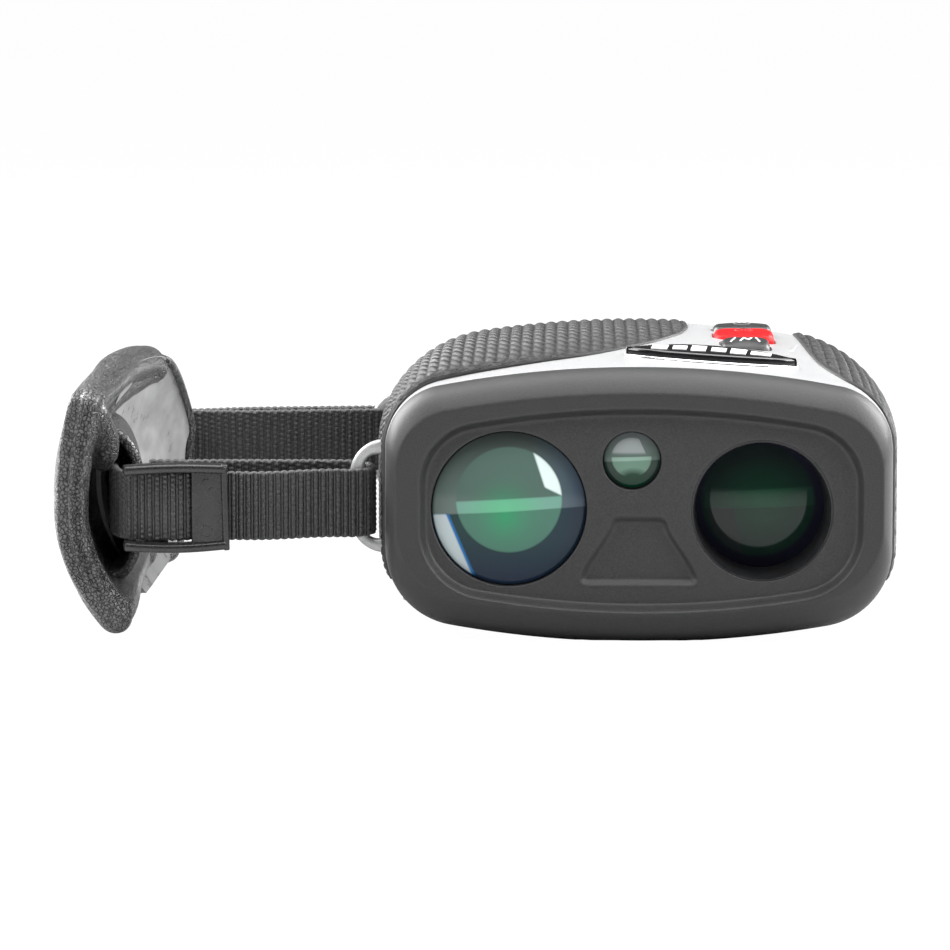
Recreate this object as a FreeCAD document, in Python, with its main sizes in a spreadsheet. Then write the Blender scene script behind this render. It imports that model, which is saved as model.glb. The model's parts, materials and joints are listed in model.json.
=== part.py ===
"""Laser rangefinder with a padded hand strap, in millimetres.

+Z is up, -Y is the lens side and +X is the objective side. The origin is the centre of the flat
landing under the housing.
"""

import FreeCAD, Part

import math
import os
import re

import Sketcher
from FreeCAD import Placement, Rotation, Vector

DRIVING = {
    # housing
    "front_plane": -50.0,
    "seam_front": -44.0,
    "seam_rear": 44.0,
    "rear_plane": 50.0,
    "widest_station": 8.0,
    "half_width": 42.2,
    "highest_station": -7.5,
    "top_level": 45.5,
    "width_swell": 3.1,
    "top_swell": 6.5,
    "swell_span": 52.0,
    "crown_radius": 165.0,
    "top_corner": 10.0,
    "corner_growth": 10.5,
    "bottom_corner": 12.0,
    "belly_depth": 0.4,
    "shell_wall": 2.0,
    "split_level": 7.0,
    "recess_depth": 1.0,
    "grip_proud": 0.35,
    "grip_lowest": 9.0,
    # front window panel
    "panel_half_width": 32.8,
    "panel_bottom": 6.2,
    "panel_top": 35.1,
    "panel_recess": 1.5,
    "panel_rear": -45.0,
    # optical axes
    "receiver_x": -20.0,
    "receiver_level": 20.7,
    "receiver_radius": 12.0,
    "objective_x": 18.9,
    "objective_level": 20.5,
    "objective_radius": 10.9,
    "emitter_x": -1.1,
    "emitter_level": 28.2,
    "emitter_radius": 4.5,
    "tube_wall": 1.4,
    "fit_gap": 0.1,
    "running_gap": 0.06,
    # eyepiece
    "eyepiece_radius": 11.0,
    "eyepiece_bore": 9.6,
    "ring_radius": 13.2,
    "ring_front": 50.3,
    "ring_length": 4.2,
    "eyecup_length": 5.6,
    # battery
    "battery_x": -20.0,
    "battery_level": 21.0,
    "battery_radius": 7.75,
    "battery_length": 27.0,
    "battery_bore": 8.2,
    "battery_tube_radius": 9.4,
    "battery_tube_front": 8.0,
    "cap_radius": 11.0,
    # electronics
    "board_level": 35.0,
    "board_thick": 1.6,
    "key_board_level": 38.0,
    "key_board_thick": 0.8,
    "switch_tall": 1.0,
    # buttons
    "button_x": 17.0,
    "button_gap": 0.25,
    "button_proud": 1.5,
    "button_stroke": 0.7,
    "flange_rim": 0.5,
    "flange_thick": 0.8,
    # strap lugs
    "lug_y": 38.0,
    "lug_bar_x": -43.6,
    "lug_bar_radius": 1.3,
    "lug_bottom": 12.6,
    "lug_top": 30.4,
    "lug_window_bottom": 14.4,
    "lug_window_top": 28.1,
    "lug_corner": 5.0,
    "lug_window_corner": 1.6,
    "lug_softness": 0.8,
    "lug_thick": 2.0,
    "lug_root_x": -36.4,
    "lug_window_root": -39.0,
    # webbing
    "web_width": 10.5,
    "web_thick": 1.3,
    "web_bottom": 15.3,
    "loop_bore": 1.6,
    "link_reach": 34.4,
    "link_lead": 5.0,
    # buckle
    "buckle_near": 20.6,
    "buckle_length": 16.4,
    "buckle_rail": 1.4,
    "buckle_bar_thick": 1.6,
    # pad
    "pad_thick": 5.4,
    "leather": 1.4,
    "lining": 1.0,
    "rim": 1.2,
    "sleeve_wall": 1.3,
    "sleeve_bottom": 7.6,
    "sleeve_top": 31.4,
}

doc = FreeCAD.newDocument("laser_rangefinder")
sheet = doc.addObject("Spreadsheet::Sheet", "dims")
for row, (alias, number) in enumerate(DRIVING.items(), start=1):
    sheet.set(f"A{row}", alias)
    sheet.set(f"B{row}", str(number))
    sheet.setAlias(f"B{row}", alias)
doc.recompute()

nodes = []


def size(text):
    """The value of a sum; each signed term is a word of the sheet or a number."""
    total = 0.0
    for sign, term in re.findall(r"([+-]?)\s*([\w.]+)", str(text)):
        amount = float(sheet.get(term)) if term in DRIVING else float(term)
        total += -amount if sign == "-" else amount
    return total


def formula(text):
    """The same sum as an expression that reads the sheet."""
    return re.sub(r"[a-z_]\w*", lambda word: "dims." + word.group(0), str(text))


def bind(obj, **sums):
    """Binds properties to sums of the sheet's words."""
    for name, text in sums.items():
        obj.setExpression(name, formula(text))


def locate(obj, x=0, y=0, z=0, rotation=None):
    """Gives an object its place, bound to the sheet."""
    spots = {"x": x, "y": y, "z": z}
    base = Vector(*(size(spot) for spot in spots.values()))
    obj.Placement = Placement(base, rotation or Rotation())
    for axis, text in spots.items():
        if str(text) != "0":
            obj.setExpression(f"Placement.Base.{axis}", formula(text))


def keep(obj, label):
    """Makes an object a node of the assembly."""
    obj.Label = label
    nodes.append(obj)
    return obj


ALONG_Y = Rotation(Vector(1, 0, 0), -90)


def cylinder(name, radius, length, x, y, z, rotation=ALONG_Y):
    obj = doc.addObject("Part::Cylinder", name)
    bind(obj, Radius=radius, Height=length)
    locate(obj, x, y, z, rotation)
    return obj


def block(name, length, width, height, x, y, z):
    """A box with its lowest corner at x, y, z."""
    obj = doc.addObject("Part::Box", name)
    bind(obj, Length=length, Width=width, Height=height)
    locate(obj, x, y, z)
    return obj


def cut(name, base, *tools):
    tool = tools[0]
    if len(tools) > 1:
        tool = doc.addObject("Part::MultiFuse", name + "_tools")
        tool.Shapes = list(tools)
    obj = doc.addObject("Part::Cut", name)
    obj.Base = base
    obj.Tool = tool
    return obj


def tube(name, outer, inner, length, x, y, z):
    shell = cylinder(name + "_outside", outer, length, x, y, z)
    bore = cylinder(name + "_inside", inner, length, x, y, z)
    return cut(name, shell, bore)


def feature(name, shape):
    obj = doc.addObject("Part::Feature", name)
    obj.Shape = shape
    return obj


def origin_plane(body, role):
    return next(item for item in body.Origin.OriginFeatures if item.Role == role)


def attached_sketch(body, name, role):
    sketch = body.newObject("Sketcher::SketchObject", name)
    sketch.AttachmentSupport = [(origin_plane(body, role), "")]
    sketch.MapMode = "FlatFace"
    return sketch


def polygon_sketch(body, name, role, corners):
    """A closed sketch whose every corner is bound to the sheet; corners are pairs of sums."""
    sketch = attached_sketch(body, name, role)
    points = [Vector(size(u), size(v), 0) for u, v in corners]
    count = len(points)
    for i in range(count):
        sketch.addGeometry(Part.LineSegment(points[i], points[(i + 1) % count]), False)
    for i in range(count):
        sketch.addConstraint(Sketcher.Constraint("Coincident", i, 2, (i + 1) % count, 1))
    for i, (corner, point) in enumerate(zip(corners, points)):
        for kind, axis, text, value in (
            ("DistanceX", -2, corner[0], point.x),
            ("DistanceY", -1, corner[1], point.y),
        ):
            if abs(value) < 1e-9:
                sketch.addConstraint(Sketcher.Constraint("PointOnObject", i, 1, axis))
                continue
            index = sketch.addConstraint(Sketcher.Constraint(kind, -1, 1, i, 1, value))
            sketch.setExpression(f"Constraints[{index}]", formula(text))
    return sketch


def turned(label, x, y, z, profile):
    """A body turned about Y; profile holds (radius, distance behind y) pairs."""
    body = doc.addObject("PartDesign::Body", label)
    sketch = polygon_sketch(body, label + "_profile", "XY_Plane", profile)
    turn = body.newObject("PartDesign::Revolution", label + "_turn")
    turn.Profile = sketch
    turn.ReferenceAxis = (sketch, ["V_Axis"])
    turn.Angle = 360
    sketch.Visibility = False
    locate(body, x, y, z)
    return keep(body, label)


def padded(body, name, role, corners, thick):
    sketch = polygon_sketch(body, name + "_outline", role, corners)
    pad = body.newObject("PartDesign::Pad", name)
    pad.Profile = sketch
    bind(pad, Length=thick)
    return pad


def rectangle(half_u, half_v):
    return [
        ("-" + half_u, "-" + half_v),
        (half_u, "-" + half_v),
        (half_u, half_v),
        ("-" + half_u, half_v),
    ]


def edges_where(shape, test):
    return [f"Edge{i}" for i, edge in enumerate(shape.Edges, start=1) if test(edge)]


def is_upright(edge):
    start, end = (vertex.Point for vertex in (edge.Vertexes[0], edge.Vertexes[-1]))
    return math.hypot(start.x - end.x, start.y - end.y) < 1e-6 and abs(start.z - end.z) > 1e-3


def rounded(body, feature_before, name, radius, test):
    doc.recompute()
    fillet = body.newObject("PartDesign::Fillet", name)
    fillet.Base = (feature_before, edges_where(feature_before.Shape, test))
    fillet.Radius = radius
    return fillet


# --- housing form -----------------------------------------------------------------------------


def swell(y, station):
    return ((y - size(station)) / size("swell_span")) ** 2


def half_width_at(y):
    return size("half_width") - size("width_swell") * swell(y, "widest_station")


def top_at(y):
    return size("top_level") - size("top_swell") * swell(y, "highest_station")


def top_corner_at(y):
    """The top corners open out from the front seam towards the rear."""
    front, rear = size("seam_front"), size("seam_rear")
    share = 1 - ((rear - y) / (rear - front)) ** 2
    return size("top_corner") + size("corner_growth") * max(0.0, share)


def crowned_outline(y, half, bottom, top, low_corner, high_corner, crown):
    """Closed outline across Y: crowned top and bottom, straight sides, tangent corners."""

    def corner(radius, level, side):
        """Centre height and crown tangent of one pair of corners; side is 1 above, -1 below."""
        inner = half - radius
        rise = math.sqrt((crown - radius) ** 2 - inner**2)
        centre = level - side * crown + side * rise
        share = crown / (crown - radius)
        tangent = Vector(inner * share, y, level - side * crown + side * rise * share)
        slant = Vector(inner, 0, side * rise).normalize() + Vector(1, 0, 0)
        middle = Vector(inner, y, centre) + slant.normalize() * radius
        return centre, tangent, middle

    def mirrored(point):
        return Vector(-point.x, point.y, point.z)

    high, high_tangent, high_middle = corner(high_corner, top, 1)
    low, low_tangent, low_middle = corner(low_corner, bottom, -1)
    right_high, right_low = Vector(half, y, high), Vector(half, y, low)
    edges = [
        Part.Arc(mirrored(high_tangent), Vector(0, y, top), high_tangent),
        Part.Arc(high_tangent, high_middle, right_high),
        Part.LineSegment(right_high, right_low),
        Part.Arc(right_low, low_middle, low_tangent),
        Part.Arc(low_tangent, Vector(0, y, bottom), mirrored(low_tangent)),
        Part.Arc(mirrored(low_tangent), mirrored(low_middle), mirrored(right_low)),
        Part.LineSegment(mirrored(right_low), mirrored(right_high)),
        Part.Arc(mirrored(right_high), mirrored(high_middle), mirrored(high_tangent)),
    ]
    return Part.Wire([edge.toShape() for edge in edges])


def housing_outline(y, grow=0.0, end_round=0.0, end_round_top=0.0, corner_cut=0.0):
    """The housing across Y, grown outwards; end_round and corner_cut draw it in at an end."""
    return crowned_outline(
        y,
        half_width_at(y) + grow - end_round,
        -size("belly_depth") - grow + end_round_top,
        top_at(y) + grow - end_round_top,
        size("bottom_corner") + grow - corner_cut,
        top_corner_at(y) + grow - corner_cut,
        size("crown_radius") + grow,
    )


def stations(first, last, count):
    return [first + (last - first) * i / (count - 1) for i in range(count)]


def housing_solid(first, last, grow=0.0, count=5):
    return Part.makeLoft([housing_outline(y, grow) for y in stations(first, last, count)], True)


def slab_between(low, high):
    """A wide box between two levels."""
    return Part.makeBox(300, 300, high - low, Vector(-150, -150, low))


def grip_region(curve_points, far_x, low):
    """The space over one side of the housing, bounded in plan by a smooth edge."""
    spline = Part.BSplineCurve()
    spline.interpolate([Vector(x, y, low) for x, y in curve_points])
    first, last = spline.StartPoint, spline.EndPoint
    corners = [last, Vector(far_x, last.y, low), Vector(far_x, first.y, low), first]
    straight = [Part.LineSegment(a, b).toShape() for a, b in zip(corners, corners[1:])]
    outline = Part.Wire([spline.toShape(), *straight])
    return Part.Face(outline).extrude(Vector(0, 0, 80))


FRONT, REAR = size("seam_front"), size("seam_rear")
FULL = housing_solid(FRONT, REAR)
HOLLOW = housing_solid(FRONT - 1, REAR + 1, -size("shell_wall"))
RECESS_FLOOR = housing_solid(FRONT - 1, REAR + 1, -size("recess_depth"))
GRIP_TOP = housing_solid(FRONT, REAR, size("grip_proud"))

LEFT_GRIP_EDGE = [
    (-38.6, -42.6),
    (-31.0, -41.4),
    (-17.7, -39.2),
    (-8.0, -36.2),
    (-1.4, -31.0),
    (4.0, -24.0),
    (7.4, -15.0),
    (8.4, -4.0),
    (8.4, 14.0),
    (4.0, 30.0),
    (-6.0, 38.0),
    (-20.0, 40.5),
]
RIGHT_GRIP_EDGE = [
    (38.4, -42.8),
    (36.4, -42.4),
    (31.6, -39.6),
    (28.0, -31.0),
    (26.4, -16.0),
    (25.8, 0.0),
    (26.4, 20.0),
    (30.0, 36.0),
    (36.0, 40.5),
]
GRIP_SPACE = {
    "left_grip": grip_region(LEFT_GRIP_EDGE, -60, size("grip_lowest")),
    "right_grip": grip_region(RIGHT_GRIP_EDGE, 60, size("grip_lowest")),
}


# --- strap lugs -------------------------------------------------------------------------------


def edges_along_y(shape, x):
    """The edges of a block that run along Y at one X."""
    return [
        edge
        for edge in shape.Edges
        if abs(edge.CenterOfMass.x - x) < 1e-6 and abs(edge.tangentAt(edge.FirstParameter).y) > 0.99
    ]


def rim_edges(shape, y, limit_x):
    """The edges that lie in one plane across Y, left of a limit."""
    in_plane = [
        edge
        for edge in shape.Edges
        if abs(edge.BoundBox.YMax - y) < 1e-6 and abs(edge.BoundBox.YMin - y) < 1e-6
    ]
    return [edge for edge in in_plane if edge.BoundBox.XMin < limit_x]


def strap_lug(label, y):
    """D-loop: a rounded plate with a window, whose outer bar carries the webbing."""
    radius = size("lug_bar_radius")
    bar_x = size("lug_bar_x")
    thick = size("lug_thick")
    root = size("lug_root_x")
    low, high = size("lug_bottom"), size("lug_top")
    outer_x = bar_x - radius
    plate = Part.makeBox(root - outer_x, thick, high - low, Vector(outer_x, y - thick / 2, low))
    plate = plate.makeFillet(size("lug_corner"), edges_along_y(plate, outer_x))
    for side in (-1, 1):
        plate = plate.makeFillet(size("lug_softness"), rim_edges(plate, y + side * thick / 2, root - 0.1))
    window_low, window_high = size("lug_window_bottom"), size("lug_window_top")
    inner_x = bar_x + thick / 2
    window = Part.makeBox(
        size("lug_window_root") - inner_x, thick + 2, window_high - window_low,
        Vector(inner_x, y - thick / 2 - 1, window_low),
    )
    window = window.makeFillet(size("lug_window_corner"), edges_along_y(window, inner_x))
    loop = plate.cut(window)
    return keep(feature(label, loop), label)


LUG_Y = size("lug_y")
front_lug = strap_lug("front_strap_lug", -LUG_Y)
rear_lug = strap_lug("rear_strap_lug", LUG_Y)


def lug_slot(y):
    """The slot in the housing side that a lug's root fills."""
    thick, low, high = size("lug_thick"), size("lug_bottom"), size("lug_top")
    return Part.makeBox(8, thick + 0.1, high - low + 0.1, Vector(-44, y - thick / 2 - 0.05, low - 0.05))


LUG_SLOTS = Part.makeCompound([lug_slot(y) for y in (-LUG_Y, LUG_Y)])

# Room for the rear tape as it turns round its bar.
LOOP_SPACE = Part.makeCylinder(
    size("loop_bore") + size("web_thick") + 0.5, 12.9, Vector(size("lug_bar_x"), LUG_Y, size("web_bottom"))
)


# --- shells and grips -------------------------------------------------------------------------

# Place along Y, width and depth of each key.
BUTTONS = {
    "mode_button": (-24.2, 7.8, 5.6),
    "measure_button": (-16.1, 9.7, 7.8),
    "power_button": (-8.1, 9.5, 5.8),
}
SCREW_PLACES = [(x, y) for x in (-34.8, 34.8) for y in (-34.0, 34.0)]
SCREW_SEAT = 5.5


def button_space(y, width, depth, gap, low, high):
    """Upright rounded block that a button fills, grown by a gap."""
    box = Part.makeBox(
        width + 2 * gap, depth + 2 * gap, high - low,
        Vector(size("button_x") - width / 2 - gap, y - depth / 2 - gap, low),
    )
    return box.makeFillet(min(width, depth) * 0.3 + gap, [edge for edge in box.Edges if is_upright(edge)])


def badge_outline(shrink, low):
    """Long pointed lens shape beside the seam, in plan."""
    left, right = -2.3 + shrink * 1.6, 24.9 - shrink * 1.6
    near, far = -38.4 + shrink, -32.0 - shrink
    middle = (left + right) / 2
    waist = (near + far) / 2
    near_arc = Part.Arc(Vector(left, waist, low), Vector(middle, near, low), Vector(right, waist, low))
    far_arc = Part.Arc(Vector(right, waist, low), Vector(middle, far, low), Vector(left, waist, low))
    return Part.Wire([near_arc.toShape(), far_arc.toShape()])


def upright(outline):
    return Part.Face(outline).extrude(Vector(0, 0, 30))


def build_shells():
    shell = FULL.cut(HOLLOW)
    upper = shell.common(slab_between(size("split_level"), 80))
    skin = FULL.cut(RECESS_FLOOR)
    for space in GRIP_SPACE.values():
        upper = upper.cut(skin.common(space))
    upper = upper.cut(LUG_SLOTS)
    for y, width, depth in BUTTONS.values():
        upper = upper.cut(button_space(y, width, depth, size("button_gap"), 35, 60))
    relief = Part.makeBox(14.4, 25.0, 6.7, Vector(size("button_x") - 7.2, -28.6, 35.0))
    upper = upper.cut(relief)
    badge_layer = FULL.cut(housing_solid(FRONT - 1, REAR + 1, -0.8))
    upper = upper.cut(badge_layer.common(upright(badge_outline(-0.05, 30))))
    inside = housing_solid(FRONT, REAR, -1.2)
    for x, y in SCREW_PLACES:
        side = math.copysign(1, x)
        post = Part.makeCylinder(2.5, 8.0, Vector(x, y, size("split_level")))
        rib_low_x = min(x, x + side * 6)
        rib = Part.makeBox(6, 2.4, 8.0, Vector(rib_low_x, y - 1.2, size("split_level")))
        upper = upper.fuse(post.fuse(rib).common(inside))
        upper = upper.cut(Part.makeCylinder(1.05, 7.0, Vector(x, y, size("split_level"))))
    keep(feature("upper_shell", upper), "upper_shell")
    lower = shell.common(slab_between(0.0, size("split_level")))
    for x, y in SCREW_PLACES:
        lower = lower.cut(Part.makeCylinder(2.2, SCREW_SEAT, Vector(x, y, 0)))
        lower = lower.cut(Part.makeCylinder(1.1, 8, Vector(x, y, 0)))
    keep(feature("lower_shell", lower), "lower_shell")
    grip_layer = GRIP_TOP.cut(RECESS_FLOOR).cut(LOOP_SPACE)
    for label, space in GRIP_SPACE.items():
        keep(feature(label, grip_layer.common(space).cut(LUG_SLOTS)), label)
    screws = []
    for x, y in SCREW_PLACES:
        head = Part.makeCylinder(2.0, 0.9, Vector(x, y, SCREW_SEAT - 0.9))
        socket = Part.makeCylinder(0.8, 0.5, Vector(x, y, SCREW_SEAT - 0.9))
        shaft = Part.makeCylinder(1.0, 7.0, Vector(x, y, SCREW_SEAT))
        screws.append(head.fuse(shaft).cut(socket))
    keep(feature("case_screws", Part.makeCompound(screws)), "case_screws")


build_shells()


def build_badge():
    """Glossy plate in a bright rim, both following the crown."""
    rim_layer = housing_solid(FRONT, REAR, 0.4).cut(housing_solid(FRONT - 1, REAR + 1, -0.8))
    plate_layer = housing_solid(FRONT, REAR, 1.1).cut(housing_solid(FRONT - 1, REAR + 1, -0.8))
    rim = rim_layer.common(upright(badge_outline(0.0, 30))).cut(upright(badge_outline(0.75, 30)))
    plate = plate_layer.common(upright(badge_outline(0.8, 30)))
    keep(feature("badge_trim", rim), "badge_trim")
    keep(feature("name_badge", plate), "name_badge")


build_badge()


# --- bezel, gaskets and rear cover ------------------------------------------------------------


def bezel_blank():
    """The rim rounds over from the seam to a flat front."""
    front = size("front_plane")
    depth = FRONT - front
    sections = [housing_outline(FRONT)]
    steps = 6
    for i in range(1, steps + 1):
        angle = math.pi / 2 * i / steps
        inset = 1 - math.cos(angle)
        sections.append(
            housing_outline(FRONT - depth * math.sin(angle), 0.0, 1.7 * inset, 3.5 * inset)
        )
    return Part.makeLoft(sections, True)


def build_bezel():
    blank = bezel_blank()
    front = size("front_plane")
    low, high, half = size("panel_bottom"), size("panel_top"), size("panel_half_width")
    panel = [
        crowned_outline(y, half + grow, low - grow, high + grow, 9.0 + grow, 8.0 + grow, 150.0)
        for y, grow in ((front - 1, 0.9), (front + size("panel_recess"), 0.0))
    ]
    bezel = blank.cut(Part.makeLoft(panel, True))
    cavity_rear = FRONT + 1
    cavity = Part.makeLoft(
        [housing_outline(y, -size("shell_wall") - 0.8) for y in (size("panel_rear"), cavity_rear)], True
    )
    bezel = bezel.cut(cavity)
    for x, level, radius in (
        ("receiver_x", "receiver_level", "receiver_radius"),
        ("objective_x", "objective_level", "objective_radius"),
        ("emitter_x", "emitter_level", "emitter_radius"),
    ):
        bore = Part.makeCylinder(
            size(radius), 20, Vector(size(x), front - 5, size(level)), Vector(0, 1, 0)
        )
        bezel = bezel.cut(bore)
    trapezoid = Part.makePolygon(
        [Vector(x, front, z) for x, z in ((-4.5, 19.6), (4.6, 19.6), (9.6, 8.8), (-9.4, 8.8), (-4.5, 19.6))]
    )
    dimple = Part.Face(trapezoid).extrude(Vector(0, size("panel_recess") + 0.5, 0))
    bezel = bezel.cut(dimple).cut(slab_between(-5, 0))
    keep(feature("front_bezel", bezel), "front_bezel")


build_bezel()


def seal_ring(label, y):
    """Flat gasket just inside a seam."""
    outer = Part.makeLoft([housing_outline(s, -2.15) for s in (y - 0.5, y + 0.5)], True)
    inner = Part.makeLoft([housing_outline(s, -2.8) for s in (y - 0.6, y + 0.6)], True)
    keep(feature(label, outer.cut(inner)), label)


seal_ring("bezel_gasket", FRONT + 0.6)
seal_ring("rear_gasket", REAR - 0.6)


def build_rear_cover():
    rear = size("rear_plane")
    depth = rear - REAR
    sections = [housing_outline(REAR)]
    wall = size("shell_wall") + 2.2
    steps = 5
    for i in range(1, steps + 1):
        angle = math.pi / 2 * i / steps
        inset = 1 - math.cos(angle)
        drawn_in = 4.0 * inset
        sections.append(
            housing_outline(REAR + depth * math.sin(angle), 0.0, drawn_in, 4.5 * inset, drawn_in)
        )
    cover = Part.makeLoft(sections, True)
    cavity = Part.makeLoft([housing_outline(y, -wall) for y in (REAR - 1, rear - 2.5)], True)
    cover = cover.cut(cavity)
    for x, level, radius in (
        ("objective_x", "objective_level", size("eyepiece_radius") + size("fit_gap")),
        ("battery_x", "battery_level", size("battery_tube_radius") + size("fit_gap")),
    ):
        bore = Part.makeCylinder(radius, 20, Vector(size(x), rear - 10, size(level)), Vector(0, 1, 0))
        cover = cover.cut(bore)
    keep(feature("rear_cover", cover.cut(slab_between(-5, 0))), "rear_cover")


build_rear_cover()


# --- optics -----------------------------------------------------------------------------------


def lens(label, radius, x, y, z, front_bulge, back_bulge, edge):
    """Glass with two spherical faces; y is the front rim."""

    def face_point(reach_out, bulge, rim, way):
        """A point of a spherical face at a distance from the axis."""
        sphere = (radius**2 + bulge**2) / (2 * bulge)
        sag = math.sqrt(sphere**2 - reach_out**2) - (sphere - bulge)
        return Vector(x + reach_out, rim + way * sag, z)

    front_points = [face_point(share * radius, front_bulge, y, -1) for share in (0.0, 0.5, 1.0)]
    back_points = [face_point(share * radius, back_bulge, y + edge, 1) for share in (1.0, 0.5, 0.0)]
    edges = [
        Part.Arc(*front_points),
        Part.LineSegment(front_points[-1], back_points[0]),
        Part.Arc(*back_points),
        Part.LineSegment(back_points[-1], front_points[0]),
    ]
    half_section = Part.Face(Part.Wire([edge_line.toShape() for edge_line in edges]))
    glass = half_section.revolve(Vector(x, 0, z), Vector(0, 1, 0), 360)
    return keep(feature(label, glass), label)


AXES = {
    "receiver": (size("receiver_x"), size("receiver_level")),
    "objective": (size("objective_x"), size("objective_level")),
    "emitter": (size("emitter_x"), size("emitter_level")),
}

x, z = AXES["receiver"]
lens("receiver_lens", size("receiver_radius") - 0.1, x, -47.6, z, 1.0, 0.8, 2.5)
turned(
    "receiver_cell", "receiver_x", "panel_rear + fit_gap", "receiver_level",
    [("11.0", "0"), ("13.1", "0"), ("13.1", "24.6"), ("10.2", "24.6"), ("10.2", "6.0"), ("11.0", "6.0")],
)
turned(
    "receiver_retainer", "receiver_x", "panel_rear + 2.0", "receiver_level",
    [("8.1", "1.2"), ("10.9", "0"), ("10.9", "2.6"), ("9.0", "2.6")],
)
turned(
    "objective_tube", "objective_x", "panel_rear + fit_gap", "objective_level",
    [
        ("objective_radius", "0"),
        ("objective_radius + tube_wall", "0"),
        ("objective_radius + tube_wall", "31.0"),
        ("9.4", "31.0"),
        ("9.4", "9.0"),
        ("objective_radius", "9.0"),
    ],
)
x, z = AXES["objective"]
lens("objective_lens", size("objective_radius") - 0.1, x, -38.9, z, 0.9, 0.5, 1.4)
turned(
    "objective_retainer", "objective_x", "panel_rear + 3.4", "objective_level",
    [("10.1", "0"), ("10.8", "0"), ("10.8", "1.4"), ("9.6", "1.4")],
)
x, z = AXES["emitter"]
lens("emitter_lens", size("emitter_radius") - 0.1, x, -47.2, z, 0.5, 0.4, 1.6)
turned(
    "emitter_cell", "emitter_x", "panel_rear + fit_gap", "emitter_level",
    [("3.1", "0"), ("5.2", "0"), ("5.2", "15.0"), ("3.1", "15.0")],
)
turned(
    "laser_diode", "emitter_x", "-34.6", "emitter_level",
    [("0", "0"), ("2.2", "0"), ("2.2", "2.6"), ("2.8", "2.6"), ("2.8", "3.8"), ("0", "3.8")],
)
keep(block("laser_board", "12", "1.2", "9", "emitter_x - 6", "-29.8", "emitter_level - 4.5"), "laser_board")
turned(
    "photodiode", "receiver_x", "-22.4", "receiver_level",
    [("0", "0"), ("2.1", "0"), ("2.1", "1.8"), ("2.7", "1.8"), ("2.7", "2.9"), ("0", "2.9")],
)
keep(block("receiver_board", "19", "1.2", "19", "receiver_x - 9.5", "-19.5", "receiver_level - 9.5"),
     "receiver_board")


def build_optics_frame():
    """Bulkhead that carries the two tubes and the front of the main board."""
    plate = block("optics_frame_plate", "66", "3", "28.9", "-33", "-26.4", "6")
    near_hole = cylinder("optics_frame_near", "13.2", "5", "receiver_x", "-27.4", "receiver_level")
    far_hole = cylinder("optics_frame_far", "objective_radius + tube_wall + fit_gap", "5", "objective_x",
                        "-27.4", "objective_level")
    screw_holes = [
        cylinder(f"optics_frame_screw_{i}", "0.85", "6", x, "-24.9", "30", Rotation())
        for i, x in enumerate(("-1.5", "5.0"))
    ]
    keep(cut("optics_frame", plate, near_hole, far_hole, *screw_holes), "optics_frame")


build_optics_frame()

keep(block("prism_block", "16", "18", "16", "objective_x - 8", "-12", "objective_level - 8"), "prism_block")


def build_prism_holder():
    outside = block("prism_holder_outside", "20", "20", "20", "objective_x - 10", "-13",
                    "objective_level - 10")
    inside = block("prism_holder_inside", "16.2", "18.2", "16.2", "objective_x - 8.1", "-12.1",
                   "objective_level - 8.1")
    window = cylinder("prism_holder_window", "7", "30", "objective_x", "-18", "objective_level")
    keep(cut("prism_holder", outside, inside, window), "prism_holder")


build_prism_holder()
keep(block("display_panel", "14", "0.9", "14", "objective_x - 7", "8.6", "objective_level - 7"),
     "display_panel")

# --- eyepiece ---------------------------------------------------------------------------------

ocular = tube("ocular_tube", "eyepiece_radius", "eyepiece_bore", "37.8", "objective_x", "14.4",
              "objective_level")
keep(ocular, "ocular_tube")
turned(
    "ocular_cell", "objective_x", "39.0", "objective_level",
    [
        ("8.0", "0"),
        ("eyepiece_bore - running_gap", "0"),
        ("eyepiece_bore - running_gap", "10.0"),
        ("8.9", "10.0"),
        ("8.9", "2.0"),
        ("8.0", "2.0"),
    ],
)
lens("ocular_lens", 8.85, size("objective_x"), 44.0, size("objective_level"), 1.2, 0.7, 2.0)
turned(
    "eyecup", "objective_x", "ring_front + ring_length", "objective_level",
    [
        ("10.2", "0"),
        ("ring_radius - 0.3", "0"),
        ("ring_radius", "1.2"),
        ("ring_radius - 0.1", "eyecup_length - 0.9"),
        ("ring_radius - 1.0", "eyecup_length"),
        ("10.9", "eyecup_length"),
        ("10.6", "eyecup_length - 1.2"),
        ("10.2", "1.4"),
    ],
)


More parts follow.
